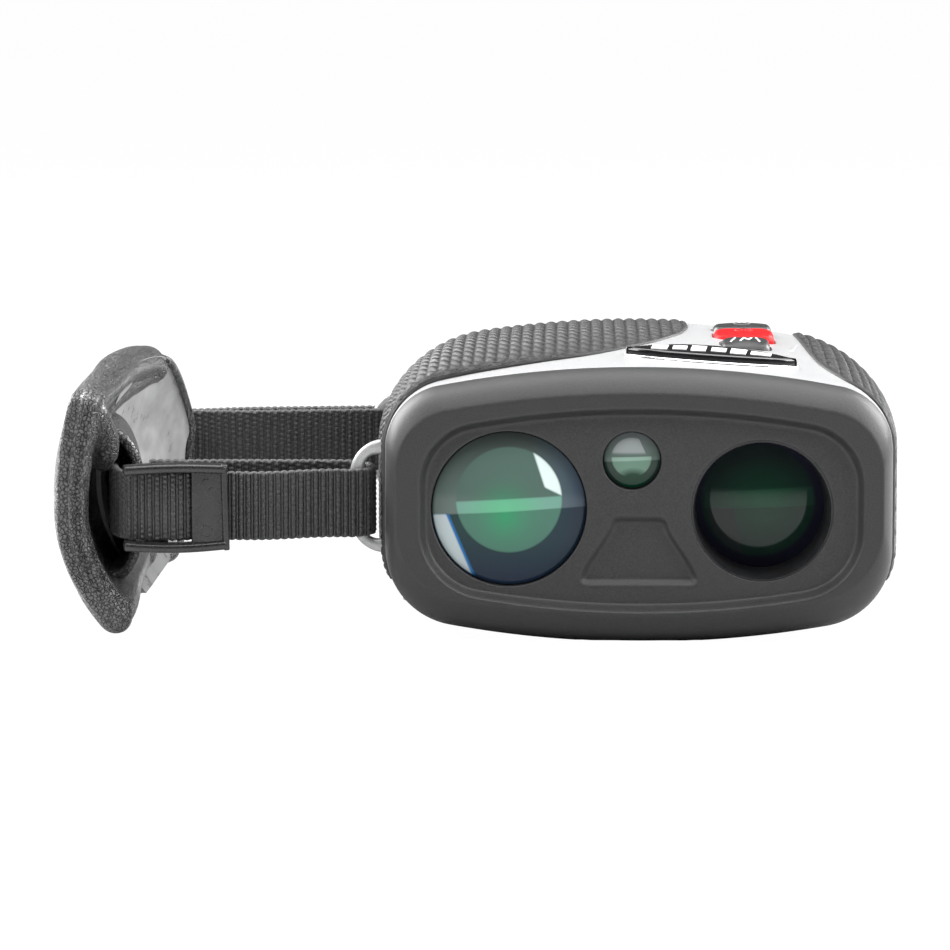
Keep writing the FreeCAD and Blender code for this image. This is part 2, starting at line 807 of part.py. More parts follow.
def build_diopter_ring():
    """Knurled ring turning on the eyepiece tube, with a lip behind the tube."""
    body = doc.addObject("PartDesign::Body", "diopter_ring")
    profile = [
        ("eyepiece_radius + running_gap", "0"),
        ("ring_radius - 0.5", "0"),
        ("ring_radius", "0.5"),
        ("ring_radius", "ring_length - 0.4"),
        ("ring_radius - 0.4", "ring_length"),
        ("10.2", "ring_length"),
        ("10.2", "2.4"),
        ("eyepiece_radius + running_gap", "2.4"),
    ]
    sketch = polygon_sketch(body, "diopter_profile", "XY_Plane", profile)
    turn = body.newObject("PartDesign::Revolution", "diopter_turn")
    turn.Profile = sketch
    turn.ReferenceAxis = (sketch, ["V_Axis"])
    turn.Angle = 360
    doc.recompute()
    before = turn.Shape.Volume
    notch = attached_sketch(body, "diopter_notch", "XZ_Plane")
    notch.addGeometry(Part.Circle(Vector(0, size("ring_radius") + 0.25, 0), Vector(0, 0, 1), 0.7), False)
    groove = body.newObject("PartDesign::Pocket", "diopter_groove")
    groove.Profile = notch
    groove.Type = "ThroughAll"
    groove.Midplane = True
    doc.recompute()
    pattern = body.newObject("PartDesign::PolarPattern", "diopter_knurl")
    pattern.Originals = [groove]
    pattern.Axis = (notch, ["N_Axis"])
    pattern.Angle = 360
    pattern.Occurrences = 36
    body.Tip = pattern
    doc.recompute()
    if not pattern.Shape.Volume < groove.Shape.Volume < before:
        raise RuntimeError("the knurl of the dioptre ring cut nothing")
    locate(body, "objective_x", "ring_front", "objective_level")
    keep(body, "diopter_ring")


build_diopter_ring()

# --- battery ----------------------------------------------------------------------------------

turned(
    "battery_tube", "battery_x", "battery_tube_front", "battery_level",
    [
        ("0", "0"),
        ("battery_tube_radius", "0"),
        ("battery_tube_radius", "rear_plane - battery_tube_front"),
        ("battery_bore", "rear_plane - battery_tube_front"),
        ("battery_bore", "1.4"),
        ("0", "1.4"),
    ],
)
turned(
    "battery_contact", "battery_x", "battery_tube_front + 1.4", "battery_level",
    [("0", "0"), ("6.4", "0"), ("6.4", "0.4"), ("0", "0.4")],
)
turned(
    "battery", "battery_x", "battery_tube_front + 5.2", "battery_level",
    [
        ("0", "0"),
        ("battery_radius", "0"),
        ("battery_radius", "battery_length - 1.2"),
        ("3.2", "battery_length - 1.2"),
        ("3.2", "battery_length"),
        ("0", "battery_length"),
    ],
)


def build_battery_spring():
    """Conical contact spring between the contact disc and the cell."""
    wire = 0.3
    turns, rise, large, small = 3.0, 2.7, 5.2, 3.4
    pitch = rise / turns
    cone = math.degrees(math.atan2(small - large, rise))
    helix = Part.makeHelix(pitch, rise, large, cone)
    section = Part.Wire([Part.Circle(Vector(large, 0, 0), Vector(0, 1, 0), wire).toShape()])
    coil = Part.Wire(helix.Edges).makePipeShell([section], True, True)
    spring = feature("battery_spring", coil)
    front = size("battery_tube_front") + 1.4 + 0.4 + wire + 0.05
    spring.Placement = Placement(Vector(size("battery_x"), front, size("battery_level")), ALONG_Y)
    keep(spring, "battery_spring")


build_battery_spring()


def build_battery_cap():
    """Screw cap: plug, neck for the seal, notched flange and a coin slot."""
    body = doc.addObject("PartDesign::Body", "battery_cap_body")
    profile = [
        ("0", "0"),
        ("battery_bore - 0.1", "0"),
        ("battery_bore - 0.1", "8.6"),
        ("8.5", "8.6"),
        ("8.5", "10.4"),
        ("cap_radius", "10.4"),
        ("cap_radius", "13.2"),
        ("cap_radius - 0.8", "14.0"),
        ("0", "14.0"),
    ]
    sketch = polygon_sketch(body, "cap_profile", "XY_Plane", profile)
    turn = body.newObject("PartDesign::Revolution", "cap_turn")
    turn.Profile = sketch
    turn.ReferenceAxis = (sketch, ["V_Axis"])
    turn.Angle = 360
    doc.recompute()
    before = turn.Shape.Volume
    notch = attached_sketch(body, "cap_notch", "XZ_Plane")
    notch.addGeometry(Part.Circle(Vector(0, size("cap_radius") + 0.6, 0), Vector(0, 0, 1), 1.3), False)
    groove = body.newObject("PartDesign::Pocket", "cap_groove")
    groove.Profile = notch
    groove.Type = "ThroughAll"
    groove.Midplane = True
    doc.recompute()
    pattern = body.newObject("PartDesign::PolarPattern", "cap_grip")
    pattern.Originals = [groove]
    pattern.Axis = (notch, ["N_Axis"])
    pattern.Angle = 360
    pattern.Occurrences = 12
    body.Tip = pattern
    doc.recompute()
    if not pattern.Shape.Volume < groove.Shape.Volume < before:
        raise RuntimeError("the notches of the battery cap cut nothing")
    locate(body, "battery_x", "rear_plane - 8.4", "battery_level")
    slot = block("coin_slot", "15", "2", "2", "battery_x - 7.5", "rear_plane + 4.2", "battery_level - 1")
    keep(cut("battery_cap_slotted", body, slot), "battery_cap")


build_battery_cap()
seal = doc.addObject("Part::Torus", "battery_seal")
bind(seal, Radius1="battery_tube_radius", Radius2="0.7")
locate(seal, "battery_x", "rear_plane + 1.0", "battery_level", ALONG_Y)
keep(seal, "battery_seal")

# --- electronics ------------------------------------------------------------------------------

board = block("main_board_blank", "46", "72", "board_thick", "-23", "-36", "board_level")
board_holes = [
    cylinder(f"main_board_hole_{i}", "0.9", "6", x, "-24.9", "board_level - 2", Rotation())
    for i, x in enumerate(("-1.5", "5.0"))
]
keep(cut("main_board", board, *board_holes), "main_board")
shield_top = block("shield_outside", "20", "18", "2.0", "-21", "-16", "board_level + board_thick")
shield_hollow = block("shield_inside", "19.4", "17.4", "1.7", "-20.7", "-15.7", "board_level + board_thick")
keep(cut("shield_can", shield_top, shield_hollow), "shield_can")
keep(block("button_board", "14", "24.4", "key_board_thick", "button_x - 7", "-28.4", "key_board_level"),
     "button_board")
keep(block("board_connector", "9", "3", "key_board_level - board_level - board_thick",
           "button_x - 4.5", "-17", "board_level + board_thick"),
     "board_connector")


def build_switches():
    level = size("key_board_level") + size("key_board_thick")
    switches = []
    for y, _, _ in BUTTONS.values():
        base = Part.makeBox(4.6, 3.6, 0.6, Vector(size("button_x") - 2.3, y - 1.8, level))
        dome = Part.makeCylinder(1.1, size("switch_tall"), Vector(size("button_x"), y, level))
        switches.append(base.fuse(dome))
    keep(feature("tact_switches", Part.makeCompound(switches)), "tact_switches")


build_switches()


def build_board_screws():
    level = size("board_level")
    screws = []
    for x in (-1.5, 5.0):
        head = Part.makeCylinder(1.5, 1.0, Vector(x, -24.9, level + size("board_thick")))
        shaft = Part.makeCylinder(0.8, 5.5, Vector(x, -24.9, level + size("board_thick") - 5.5))
        screws.append(head.fuse(shaft))
    keep(feature("board_screws", Part.makeCompound(screws)), "board_screws")


build_board_screws()

# --- buttons ----------------------------------------------------------------------------------


def build_button(label, y, width, depth):
    """Cap with a wider flange under the shell."""
    body = doc.addObject("PartDesign::Body", label)
    rim = size("flange_rim")
    flange = padded(
        body, label + "_flange", "XY_Plane", rectangle(f"{width / 2 + rim:.2f}", f"{depth / 2 + rim:.2f}"),
        "flange_thick",
    )
    doc.recompute()
    outline = polygon_sketch(
        body, label + "_cap_outline", "XY_Plane", rectangle(f"{width / 2:.2f}", f"{depth / 2:.2f}")
    )
    crown = size("button_x") ** 2 / (2 * size("crown_radius"))
    flange_level = size("key_board_level + key_board_thick + switch_tall + fit_gap + button_stroke")
    tall = top_at(y) - crown + size("button_proud") - flange_level
    cap = body.newObject("PartDesign::Pad", label + "_cap")
    cap.Profile = outline
    cap.Length = tall
    doc.recompute()
    corner = min(width, depth) * 0.3

    def at_cap_corner(edge):
        return is_upright(edge) and edge.CenterOfMass.z > tall / 2 and edge.Length > 2

    round_corners = rounded(body, cap, label + "_corners", corner, at_cap_corner)
    doc.recompute()

    def at_top(edge):
        return all(abs(vertex.Point.z - tall) < 1e-6 for vertex in edge.Vertexes)

    body.Tip = rounded(body, round_corners, label + "_top", 0.6, at_top)
    locate(
        body, "button_x", f"{y}",
        "key_board_level + key_board_thick + switch_tall + fit_gap + button_stroke",
    )
    return keep(body, label)


for name, (y, width, depth) in BUTTONS.items():
    build_button(name, y, width, depth)

# --- strap ------------------------------------------------------------------------------------

LINK = Vector(-size("link_reach"), -size("link_lead"), 0)
FRONT_PIVOT = Vector(size("lug_bar_x"), -LUG_Y, 0)
REAR_PIVOT = Vector(size("lug_bar_x"), LUG_Y, 0)
ALONG_LINK = Rotation(Vector(1, 0, 0), LINK)


def on_link(name, shape, pivot, level=0.0):
    """A node drawn along +X, turned so that it runs along the strap from a pivot."""
    node = feature(name, shape)
    node.Placement = Placement(pivot + Vector(0, 0, level), ALONG_LINK)
    return keep(node, name)


def webbing_loop(length_near, length_far):
    """Webbing round a bar at the origin: two layers towards +X, of their own lengths."""
    bore = size("loop_bore")
    outer = bore + size("web_thick")
    width = size("web_width")
    ring = Part.makeCylinder(outer, width).cut(Part.makeCylinder(bore, width))
    ring = ring.common(Part.makeBox(20, 40, width, Vector(-20, -20, 0)))
    near = Part.makeBox(length_near, size("web_thick"), width, Vector(0, bore, 0))
    far = Part.makeBox(length_far, size("web_thick"), width, Vector(0, -outer, 0))
    return ring.fuse([near, far]).removeSplitter()


WEB_LOW = size("web_bottom")
LINK_LENGTH = LINK.Length

front_loop = webbing_loop(LINK_LENGTH - 1.0, LINK_LENGTH - 2.4)
on_link("front_webbing", front_loop, FRONT_PIVOT, WEB_LOW)
rear_loop = webbing_loop(LINK_LENGTH - 4.0, LINK_LENGTH - 2.4)
on_link("rear_webbing", rear_loop, REAR_PIVOT, WEB_LOW + 1.6)


def build_buckle():
    """Tri-glide: two end bars before the near layer, a centre bar behind it, two rails."""
    bore, web = size("loop_bore"), size("web_thick")
    near = size("buckle_near")
    length = size("buckle_length")
    rail = size("buckle_rail")
    thick = size("buckle_bar_thick")
    low, width = WEB_LOW - 0.3, size("web_width") + 0.6
    face = bore + web + 0.3
    bars = [
        Part.makeBox(5.0, thick, width, Vector(near, face, low)),
        Part.makeBox(2.2, thick, width, Vector(near + length - 2.2, face, low)),
        Part.makeBox(2.4, 1.2, width, Vector(near + 9.0, bore - 1.5, low)),
    ]
    deep = face + thick - bore + 1.5
    rails = [
        Part.makeBox(length, deep, rail, Vector(near, bore - 1.5, level))
        for level in (low - rail, low + width)
    ]
    buckle = bars[0].fuse(bars[1:] + rails).removeSplitter()
    on_link("strap_buckle", buckle, FRONT_PIVOT)


build_buckle()


# Stations of the pad from front to rear: y, outer x at mid height, bottom and top level,
# and how far the bottom and top edges lean towards the housing.
PAD_STATIONS = [
    (-46.0, -90.0, 0.5, 38.2, 9.0, 2.4),
    (-33.0, -91.8, 0.5, 39.3, 9.0, 5.2),
    (-20.0, -92.4, 0.7, 40.3, 9.0, 7.0),
    (-5.0, -91.2, 1.2, 40.9, 8.4, 7.0),
    (9.0, -88.2, 2.6, 40.2, 6.6, 5.8),
    (15.5, -85.8, 5.2, 36.6, 5.2, 5.0),
    (22.0, -83.0, 9.4, 31.0, 3.4, 3.4),
    (27.5, -80.2, 14.6, 25.0, 1.4, 1.4),
]


def circle_through(low, middle, high):
    """Centre and radius of the circle through three (x, z) points."""
    circle = Part.Arc(*(Vector(x, 0, z) for x, z in (low, middle, high))).toShape().Curve
    return circle.Center, circle.Radius


def pad_face(station, inset=0.0):
    """Outer face of the pad at one station: three points up its height, less an inset at both ends."""
    y, x, low, high, low_lean, high_lean = station
    centre, radius = circle_through((x + low_lean, low), (x, (low + high) / 2), (x + high_lean, high))
    levels = (low + inset, (low + high) / 2, high - inset)
    return [Vector(centre.x - math.sqrt(radius**2 - (z - centre.z) ** 2), y, z) for z in levels]


def pad_section(points, near, far):
    """Closed wire between two depths behind the outer face."""
    outer = [point + Vector(near, 0, 0) for point in points]
    inner = [point + Vector(far, 0, 0) for point in points]
    edges = [
        Part.Arc(*outer),
        Part.LineSegment(outer[2], inner[2]),
        Part.Arc(*reversed(inner)),
        Part.LineSegment(inner[0], outer[0]),
    ]
    return Part.Wire([edge.toShape() for edge in edges])


def pad_layer(near, far, inset=0.0):
    """A layer of the pad between two depths behind its outer face."""
    sections = [pad_section(pad_face(station, inset), near, far) for station in PAD_STATIONS]
    return Part.makeLoft(sections, True, False)


def plan_band(path, half, low, high):
    """A band of even thickness along a smooth path in plan, between two levels."""
    sides = []
    for shift in (-half, half):
        curve = Part.BSplineCurve()
        curve.interpolate([Vector(x + shift, y, low) for x, y in path])
        sides.append(curve.toShape())
    first, last = sides[0].Vertexes, sides[1].Vertexes
    caps = [Part.makeLine(a.Point, b.Point) for a, b in zip(first, last)]
    outline = Part.Wire(Part.__sortEdges__([*sides, *caps]))
    return Part.Face(outline).extrude(Vector(0, 0, high - low))


def build_pad():
    """Leather outside, foam, lining inside and a binding round the edge."""
    thick, leather, lining, rim = size("pad_thick"), size("leather"), size("lining"), size("rim")
    keep(feature("pad_cover", pad_layer(0, leather)), "pad_cover")
    front, rear = PAD_STATIONS[0][0], PAD_STATIONS[-1][0]
    inside = slab_along_y(front + rim, rear - rim)
    foam = pad_layer(leather, thick - lining, rim).common(inside)
    keep(feature("pad_foam", foam), "pad_foam")
    face = pad_layer(thick - lining, thick, rim).common(inside)
    keep(feature("pad_lining", face), "pad_lining")
    frame = pad_layer(leather + 0.02, thick)
    core_length = slab_along_y(front + rim - 0.03, rear - rim + 0.03)
    core = pad_layer(leather - 1.0, thick + 1.0, rim - 0.03).common(core_length)
    keep(feature("pad_binding", frame.cut(core)), "pad_binding")


def slab_along_y(front, rear):
    return Part.makeBox(100, rear - front, 100, Vector(-130, front, -20))


build_pad()

# In plan: the tape that enters the front of the pad, the tab that leaves its rear end, and the
# leather sleeve over the tape.
PAD_TAPE_PATH = [(-80.7, -41.0), (-81.9, -32.0), (-83.0, -22.0), (-83.6, -14.0)]
REAR_TAB_PATH = [(-78.6, 27.6), (-78.3, 30.3), (-78.0, 33.0)]
SLEEVE_PATH = [(-77.4, -33.0), (-78.7, -23.0), (-79.8, -13.0)]


def build_pad_tape():
    low = size("web_bottom")
    half = size("web_thick") / 2
    run = plan_band(PAD_TAPE_PATH, half, low, low + size("web_width"))
    tab = plan_band(REAR_TAB_PATH, half, low + 1.6, low + 9.0)
    keep(feature("pad_webbing", Part.makeCompound([run, tab])), "pad_webbing")


def build_sleeve():
    """A leather band over the tape: a bowed wall with its two edges turned back to the pad."""
    wall, low, high = size("sleeve_wall"), size("sleeve_bottom"), size("sleeve_top")
    band = plan_band(SLEEVE_PATH, wall / 2, low, high)
    filled = plan_space(SLEEVE_PATH, low, high)
    edges = [filled.common(slab_between(*levels)) for levels in ((low, low + wall), (high - wall, high))]
    hollow = pad_layer(size("pad_thick") + 0.3, size("pad_thick") + 12.0)
    keep(feature("pad_sleeve", band.fuse(edges).common(hollow).removeSplitter()), "pad_sleeve")


def plan_space(path, low, high):
    """Everything from a path in plan to beyond the pad's outer face."""
    curve = Part.BSplineCurve()
    curve.interpolate([Vector(x, y, low) for x, y in path])
    (x0, y0), (x1, y1) = path[0], path[-1]
    corners = [Vector(x1, y1, low), Vector(-96, y1, low), Vector(-96, y0, low), Vector(x0, y0, low)]
    sides = [Part.makeLine(a, b) for a, b in zip(corners, corners[1:])]
    return Part.Face(Part.Wire([curve.toShape(), *sides])).extrude(Vector(0, 0, high - low))


build_pad_tape()
build_sleeve()

# --- checks and export ------------------------------------------------------------------------

doc.recompute()
for obj in doc.Objects:
    if {"Invalid", "Error"} & set(obj.State):
        raise RuntimeError(f"{obj.Label} failed to build: {obj.State}")
os.makedirs("parts", exist_ok=True)
for node in nodes:
    if node.Shape.isNull() or not node.Shape.isValid() or not node.Shape.Solids:
        raise RuntimeError(f"{node.Label} has no valid solid")
    node.Shape.exportStep(os.path.join("parts", node.Label + ".step"))
    print(f"{node.Label:20s} {len(node.Shape.Solids)} solids {node.Shape.Volume:9.1f} mm3")
print(len(nodes), "nodes")
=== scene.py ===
"""Looks of the laser rangefinder: materials, fine shapes and the strap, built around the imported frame."""

import json
import math

import bmesh
import bpy
import numpy as np
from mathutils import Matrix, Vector, geometry


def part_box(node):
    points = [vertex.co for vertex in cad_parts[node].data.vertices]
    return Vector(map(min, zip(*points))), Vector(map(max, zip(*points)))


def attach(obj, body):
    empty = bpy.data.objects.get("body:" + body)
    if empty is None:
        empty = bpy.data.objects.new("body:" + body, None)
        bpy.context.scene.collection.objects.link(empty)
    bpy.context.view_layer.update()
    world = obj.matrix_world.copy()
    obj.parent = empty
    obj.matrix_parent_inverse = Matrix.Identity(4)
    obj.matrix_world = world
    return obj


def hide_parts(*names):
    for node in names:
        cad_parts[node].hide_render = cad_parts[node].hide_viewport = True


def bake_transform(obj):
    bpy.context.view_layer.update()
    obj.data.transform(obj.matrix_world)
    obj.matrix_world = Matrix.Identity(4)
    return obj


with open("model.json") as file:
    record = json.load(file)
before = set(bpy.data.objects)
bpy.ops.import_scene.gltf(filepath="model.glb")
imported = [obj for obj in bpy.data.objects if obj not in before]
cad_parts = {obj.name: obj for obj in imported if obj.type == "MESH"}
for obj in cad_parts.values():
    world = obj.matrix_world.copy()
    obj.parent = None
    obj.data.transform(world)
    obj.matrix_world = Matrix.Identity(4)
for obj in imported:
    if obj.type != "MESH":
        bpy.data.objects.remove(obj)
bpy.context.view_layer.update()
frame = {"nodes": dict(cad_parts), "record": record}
MM = 0.001
WELD = 1e-7


def corner_mm(node, which, axis):
    """One coordinate of a node's box, in millimetres; which is 0 low, 1 high."""
    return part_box(node)[which]["xyz".index(axis)] / MM


# --- the housing's form, from the frame -------------------------------------------------------

FRONT = corner_mm("front_bezel", 0, "y")
SEAM = corner_mm("upper_shell", 0, "y")
REAR_SEAM = corner_mm("upper_shell", 1, "y")
HALF_WIDTH = corner_mm("upper_shell", 1, "x")
TOP = corner_mm("upper_shell", 1, "z")
SEAM_HALF_WIDTH = corner_mm("front_bezel", 1, "x")
SEAM_TOP = corner_mm("front_bezel", 1, "z")
SPLIT = corner_mm("lower_shell", 1, "z")
WALL = 2.0
WIDEST = 8.0
BELLY = 0.4
CROWN = 165.0
HIGHEST = -7.5
TOP_CORNER, CORNER_GROWTH, BOTTOM_CORNER = 10.0, 10.5, 12.0


def crowned_outline(half, low, high, low_corner, high_corner, crown, per_arc=48):
    """Closed outline from the top centre, clockwise seen from the front: x, z and outward normal."""

    def right_half(level, side, radius):
        inner = half - radius
        rise = math.sqrt((crown - radius) ** 2 - inner**2)
        centre = level - side * crown + side * rise
        turn = math.asin(inner / (crown - radius))
        crown_angles = np.linspace(0, turn, per_arc, endpoint=False)
        corner_angles = np.linspace(turn, math.pi / 2, per_arc, endpoint=False)
        xs = np.concatenate([crown * np.sin(crown_angles), inner + radius * np.sin(corner_angles)])
        crown_zs = level - side * crown + side * crown * np.cos(crown_angles)
        zs = np.concatenate([crown_zs, centre + side * radius * np.cos(corner_angles)])
        angles = np.concatenate([crown_angles, corner_angles])
        return xs, zs, np.sin(angles), side * np.cos(angles), centre

    xs, zs, nx, nz, high_centre = right_half(high, 1, high_corner)
    lx, lz, lnx, lnz, low_centre = right_half(low, -1, low_corner)
    side_z = np.linspace(high_centre, low_centre, per_arc // 2 + 1)
    side_x = np.full_like(side_z, half)
    right = [
        np.concatenate([xs, side_x, lx[:0:-1]]),
        np.concatenate([zs, side_z, lz[:0:-1]]),
        np.concatenate([nx, np.ones_like(side_z), lnx[:0:-1]]),
        np.concatenate([nz, np.zeros_like(side_z), lnz[:0:-1]]),
    ]
    bottom = [np.array([0.0]), np.array([low]), np.array([0.0]), np.array([-1.0])]
    left = [part[:0:-1] * sign for part, sign in zip(right, (-1, 1, -1, 1))]
    return [np.concatenate(parts) for parts in zip(right, bottom, left)]


def half_width_at(y):
    return HALF_WIDTH - (HALF_WIDTH - SEAM_HALF_WIDTH) * ((y - WIDEST) / (SEAM - WIDEST)) ** 2


def top_at(y):
    return TOP - (TOP - SEAM_TOP) * ((y - HIGHEST) / (SEAM - HIGHEST)) ** 2


def top_corner_at(y):
    """The top corners open out from the front seam towards the rear."""
    return TOP_CORNER + CORNER_GROWTH * max(0.0, 1 - ((REAR_SEAM - y) / (REAR_SEAM - SEAM)) ** 2)


def housing_outline(y, per_arc=48):
    half, high, corner = half_width_at(y), top_at(y), top_corner_at(y)
    return crowned_outline(half, -BELLY, high, BOTTOM_CORNER, corner, CROWN, per_arc)


def at_station(x, y, z):
    """Points across one station, from arrays of x and z."""
    return np.stack([x, np.full_like(x, y), z], axis=-1)


class Row:
    """The housing across one station, by distance s along its outline from the top centre."""

    def __init__(self, y):
        x, z, nx, nz = housing_outline(y, 160)
        half = int(np.argmin(z)) + 1
        self.y = y
        self.x, self.z, self.nx, self.nz = (part[:half] for part in (x, z, nx, nz))
        steps = np.hypot(np.diff(self.x), np.diff(self.z))
        self.s = np.concatenate([[0.0], np.cumsum(steps)])
        self.length = self.s[-1]

    def s_of_x(self, x):
        rising = int(np.argmax(self.x)) + 1
        return math.copysign(np.interp(abs(x), self.x[:rising], self.s[:rising]), x)

    def s_of_z(self, z):
        """Distance down the right side to a level."""
        return float(np.interp(-z, -self.z, self.s))

    def points(self, s, lift):
        """Points at signed distances s, lifted along the outward normal; s may run on past the bottom."""
        s = np.where(s > self.length, s - 2 * self.length, s)
        side = np.where(s < 0, -1.0, 1.0)
        reach = np.abs(s)
        x = np.interp(reach, self.s, self.x) + lift * np.interp(reach, self.s, self.nx)
        z = np.interp(reach, self.s, self.z) + lift * np.interp(reach, self.s, self.nz)
        return at_station(side * x, self.y, z)


# --- mesh helpers -----------------------------------------------------------------------------


def linked(name, data):
    """A new object in the scene."""
    obj = bpy.data.objects.new(name, data)
    bpy.context.scene.collection.objects.link(obj)
    return obj


def mesh_from(work, name):
    mesh = bpy.data.meshes.new(name)
    work.to_mesh(mesh)
    work.free()
    return mesh


def shade_smooth(mesh):
    mesh.polygons.foreach_set("use_smooth", [True] * len(mesh.polygons))


def apply_modifiers(obj):
    """Turns the object's modifiers into its mesh."""
    depsgraph = bpy.context.evaluated_depsgraph_get()
    mesh = bpy.data.meshes.new_from_object(obj.evaluated_get(depsgraph))
    obj.modifiers.clear()
    obj.data = mesh


def make_piece(name, points, faces, material, sharp=40.0):
    """A mesh object from millimetre points; edges sharper than sharp degrees stay crisp."""
    mesh = bpy.data.meshes.new(name)
    corners = [tuple(p) for p in np.asarray(points, float) * MM]
    mesh.from_pydata(corners, [], [list(map(int, f)) for f in faces])
    mesh.validate()
    work = bmesh.new()
    work.from_mesh(mesh)
    bmesh.ops.remove_doubles(work, verts=work.verts, dist=WELD)
    bmesh.ops.recalc_face_normals(work, faces=work.faces)
    work.to_mesh(mesh)
    work.free()
    shade_smooth(mesh)
    mesh.set_sharp_from_angle(angle=math.radians(sharp))
    mesh.materials.append(material)
    return linked(name, mesh)


def grid_faces(rows, columns, start=0, close_columns=False, close_rows=False):
    """Four-sided faces between rows of points that follow one another."""
    faces = []
    for i in range(rows if close_rows else rows - 1):
        for j in range(columns if close_columns else columns - 1):
            a, b = i * columns, ((i + 1) % rows) * columns
            k = (j + 1) % columns
            faces.append((start + a + j, start + a + k, start + b + k, start + b + j))
    return faces


def skin(name, loops, material, close_loops=True, closed=False, sharp=40.0):
    """Joins equal loops of points into one surface; closed joins the last loop to the first."""
    loops = [np.asarray(loop) for loop in loops]
    points = np.concatenate(loops)
    faces = grid_faces(len(loops), len(loops[0]), 0, close_loops, closed)
    return make_piece(name, points, faces, material, sharp)


def full_turn(count):
    return np.linspace(0, 2 * math.pi, count, endpoint=False)


def circle(x, z, radius, y, count=120):
    angles = full_turn(count)
    return at_station(x + radius * np.cos(angles), y, z + radius * np.sin(angles))


def lathe(name, profile, x, z, material, segments, sharp):
    """Turns a closed profile of (radius, y) pairs about the axis along Y through x, z."""
    return skin(name, [circle(x, z, r, y, segments) for r, y in profile], material, True, True, sharp)


def ease(t):
    """0 to 1 with a soft start and a soft end."""
    return t * t * (3 - 2 * t)


def unit(vectors):
    return vectors / np.linalg.norm(vectors, axis=1)[:, None]


def left_of(directions):
    return np.stack([-directions[:, 1], directions[:, 0]], axis=-1)


def relaxed(path, rounds):
    """The path with its corners softened; its ends stay."""
    path = np.array(path)
    for _ in range(rounds):
        path[1:-1] = 0.5 * path[1:-1] + 0.25 * (path[:-2] + path[2:])
    return path


def squared_circle(count, power):
    """Cosine and sine of a turn, pushed out towards the corners of a square."""
    angles = full_turn(count)
    return [np.sign(wave) * np.abs(wave) ** power for wave in (np.cos(angles), np.sin(angles))]


# --- materials --------------------------------------------------------------------------------


class Paint:
    """A Principled material with short ways to wire textures into it."""

    def __init__(self, name, roughness=0.5, metallic=0.0, specular=0.5, coat=0.0, coat_rough=0.1,
                 sheen=0.0, colour=(0.5, 0.5, 0.5)):
        self.material = bpy.data.materials.new(name)
        self.material.use_nodes = True
        self.tree = self.material.node_tree
        self.shader = self.tree.nodes["Principled BSDF"]
        settings = {
            "Base Color": (*colour, 1), "Roughness": roughness, "Metallic": metallic,
            "Specular IOR Level": specular, "Coat Weight": coat, "Coat Roughness": coat_rough,
            "Sheen Weight": sheen,
        }
        for key, value in settings.items():
            self.shader.inputs[key].default_value = value
        self.place = self.tree.nodes.new("ShaderNodeTexCoord").outputs["Object"]
        self.heights = None

    def link(self, output, socket):
        self.tree.links.new(output, socket)

    def node(self, kind, inputs=None, **settings):
        node = self.tree.nodes.new(kind)
        for key, value in settings.items():
            setattr(node, key, value)
        for key, value in (inputs or {}).items():
            if isinstance(value, bpy.types.NodeSocket):
                self.link(value, node.inputs[key])
            else:
                node.inputs[key].default_value = value
        return node

    def math(self, operation, a, b=0.0, c=0.0):
        return self.node("ShaderNodeMath", {0: a, 1: b, 2: c}, operation=operation).outputs[0]

    def noise(self, scale, detail=2.0, rough=0.5, stretch=None):
        place = self.place
        if stretch:
            place = self.node("ShaderNodeMapping", {"Vector": place, "Scale": stretch}).outputs[0]
        inputs = {"Vector": place, "Scale": scale, "Detail": detail, "Roughness": rough}
        return self.node("ShaderNodeTexNoise", inputs).outputs["Fac"]

    def cells(self, scale, feature="F1"):
        node = self.node("ShaderNodeTexVoronoi", {"Vector": self.place, "Scale": scale}, feature=feature)
        return node.outputs["Distance"]

    def spread(self, value, low, high, to_low=0.0, to_high=1.0):
        inputs = {"Value": value, "From Min": low, "From Max": high, "To Min": to_low, "To Max": to_high}
        return self.node("ShaderNodeMapRange", inputs).outputs[0]

    def mottle(self, value, a, b):
        """Colour a to b over the middle of a noise."""
        return self.blend(self.spread(value, 0.3, 0.7), a, b)

    def blend(self, share, a, b):
        node = self.node("ShaderNodeMix", data_type="RGBA")
        for socket, value in ((node.inputs[0], share), (node.inputs[6], a), (node.inputs[7], b)):
            if isinstance(value, bpy.types.NodeSocket):
                self.link(value, socket)
            else:
                socket.default_value = (*value, 1) if isinstance(value, tuple) else value
        return node.outputs[2]

    def colour(self, output):
        self.link(output, self.shader.inputs["Base Color"])

    def rough(self, value, low, high):
        """Roughness from low to high over the middle of a noise."""
        self.link(self.spread(value, 0.3, 0.7, low, high), self.shader.inputs["Roughness"])

    def bump(self, height, distance, strength=1.0):
        """Adds a bump of a real height in metres on top of those before it."""
        inputs = {"Height": height, "Distance": distance, "Strength": strength}
        node = self.node("ShaderNodeBump", inputs)
        if self.heights is not None:
            self.link(self.heights, node.inputs["Normal"])
        self.heights = node.outputs[0]
        self.link(self.heights, self.shader.inputs["Normal"])

    def hollow(self, low=0.46, high=0.51):
        """0 in grooves and 1 on ridges of the mesh; the materials use it to paint shade into grooves."""
        return self.spread(self.node("ShaderNodeNewGeometry").outputs["Pointiness"], low, high)

    def separate(self):
        return self.node("ShaderNodeSeparateXYZ", {"Vector": self.place}).outputs


def silver_paint():
    paint = Paint("silver_paint", 0.34, 0.25, 0.5, coat=0.25, coat_rough=0.25)
    flakes = paint.noise(5200, 1.0, 0.6)
    cloud = paint.noise(90, 2.0)
    base = paint.mottle(flakes, (0.33, 0.333, 0.337), (0.46, 0.463, 0.467))
    paint.colour(paint.blend(paint.spread(cloud, 0.3, 0.7, 0.0, 0.12), base, (0.38, 0.385, 0.39)))
    paint.rough(flakes, 0.30, 0.42)
    paint.bump(flakes, 0.00001, 0.35)
    return paint.material


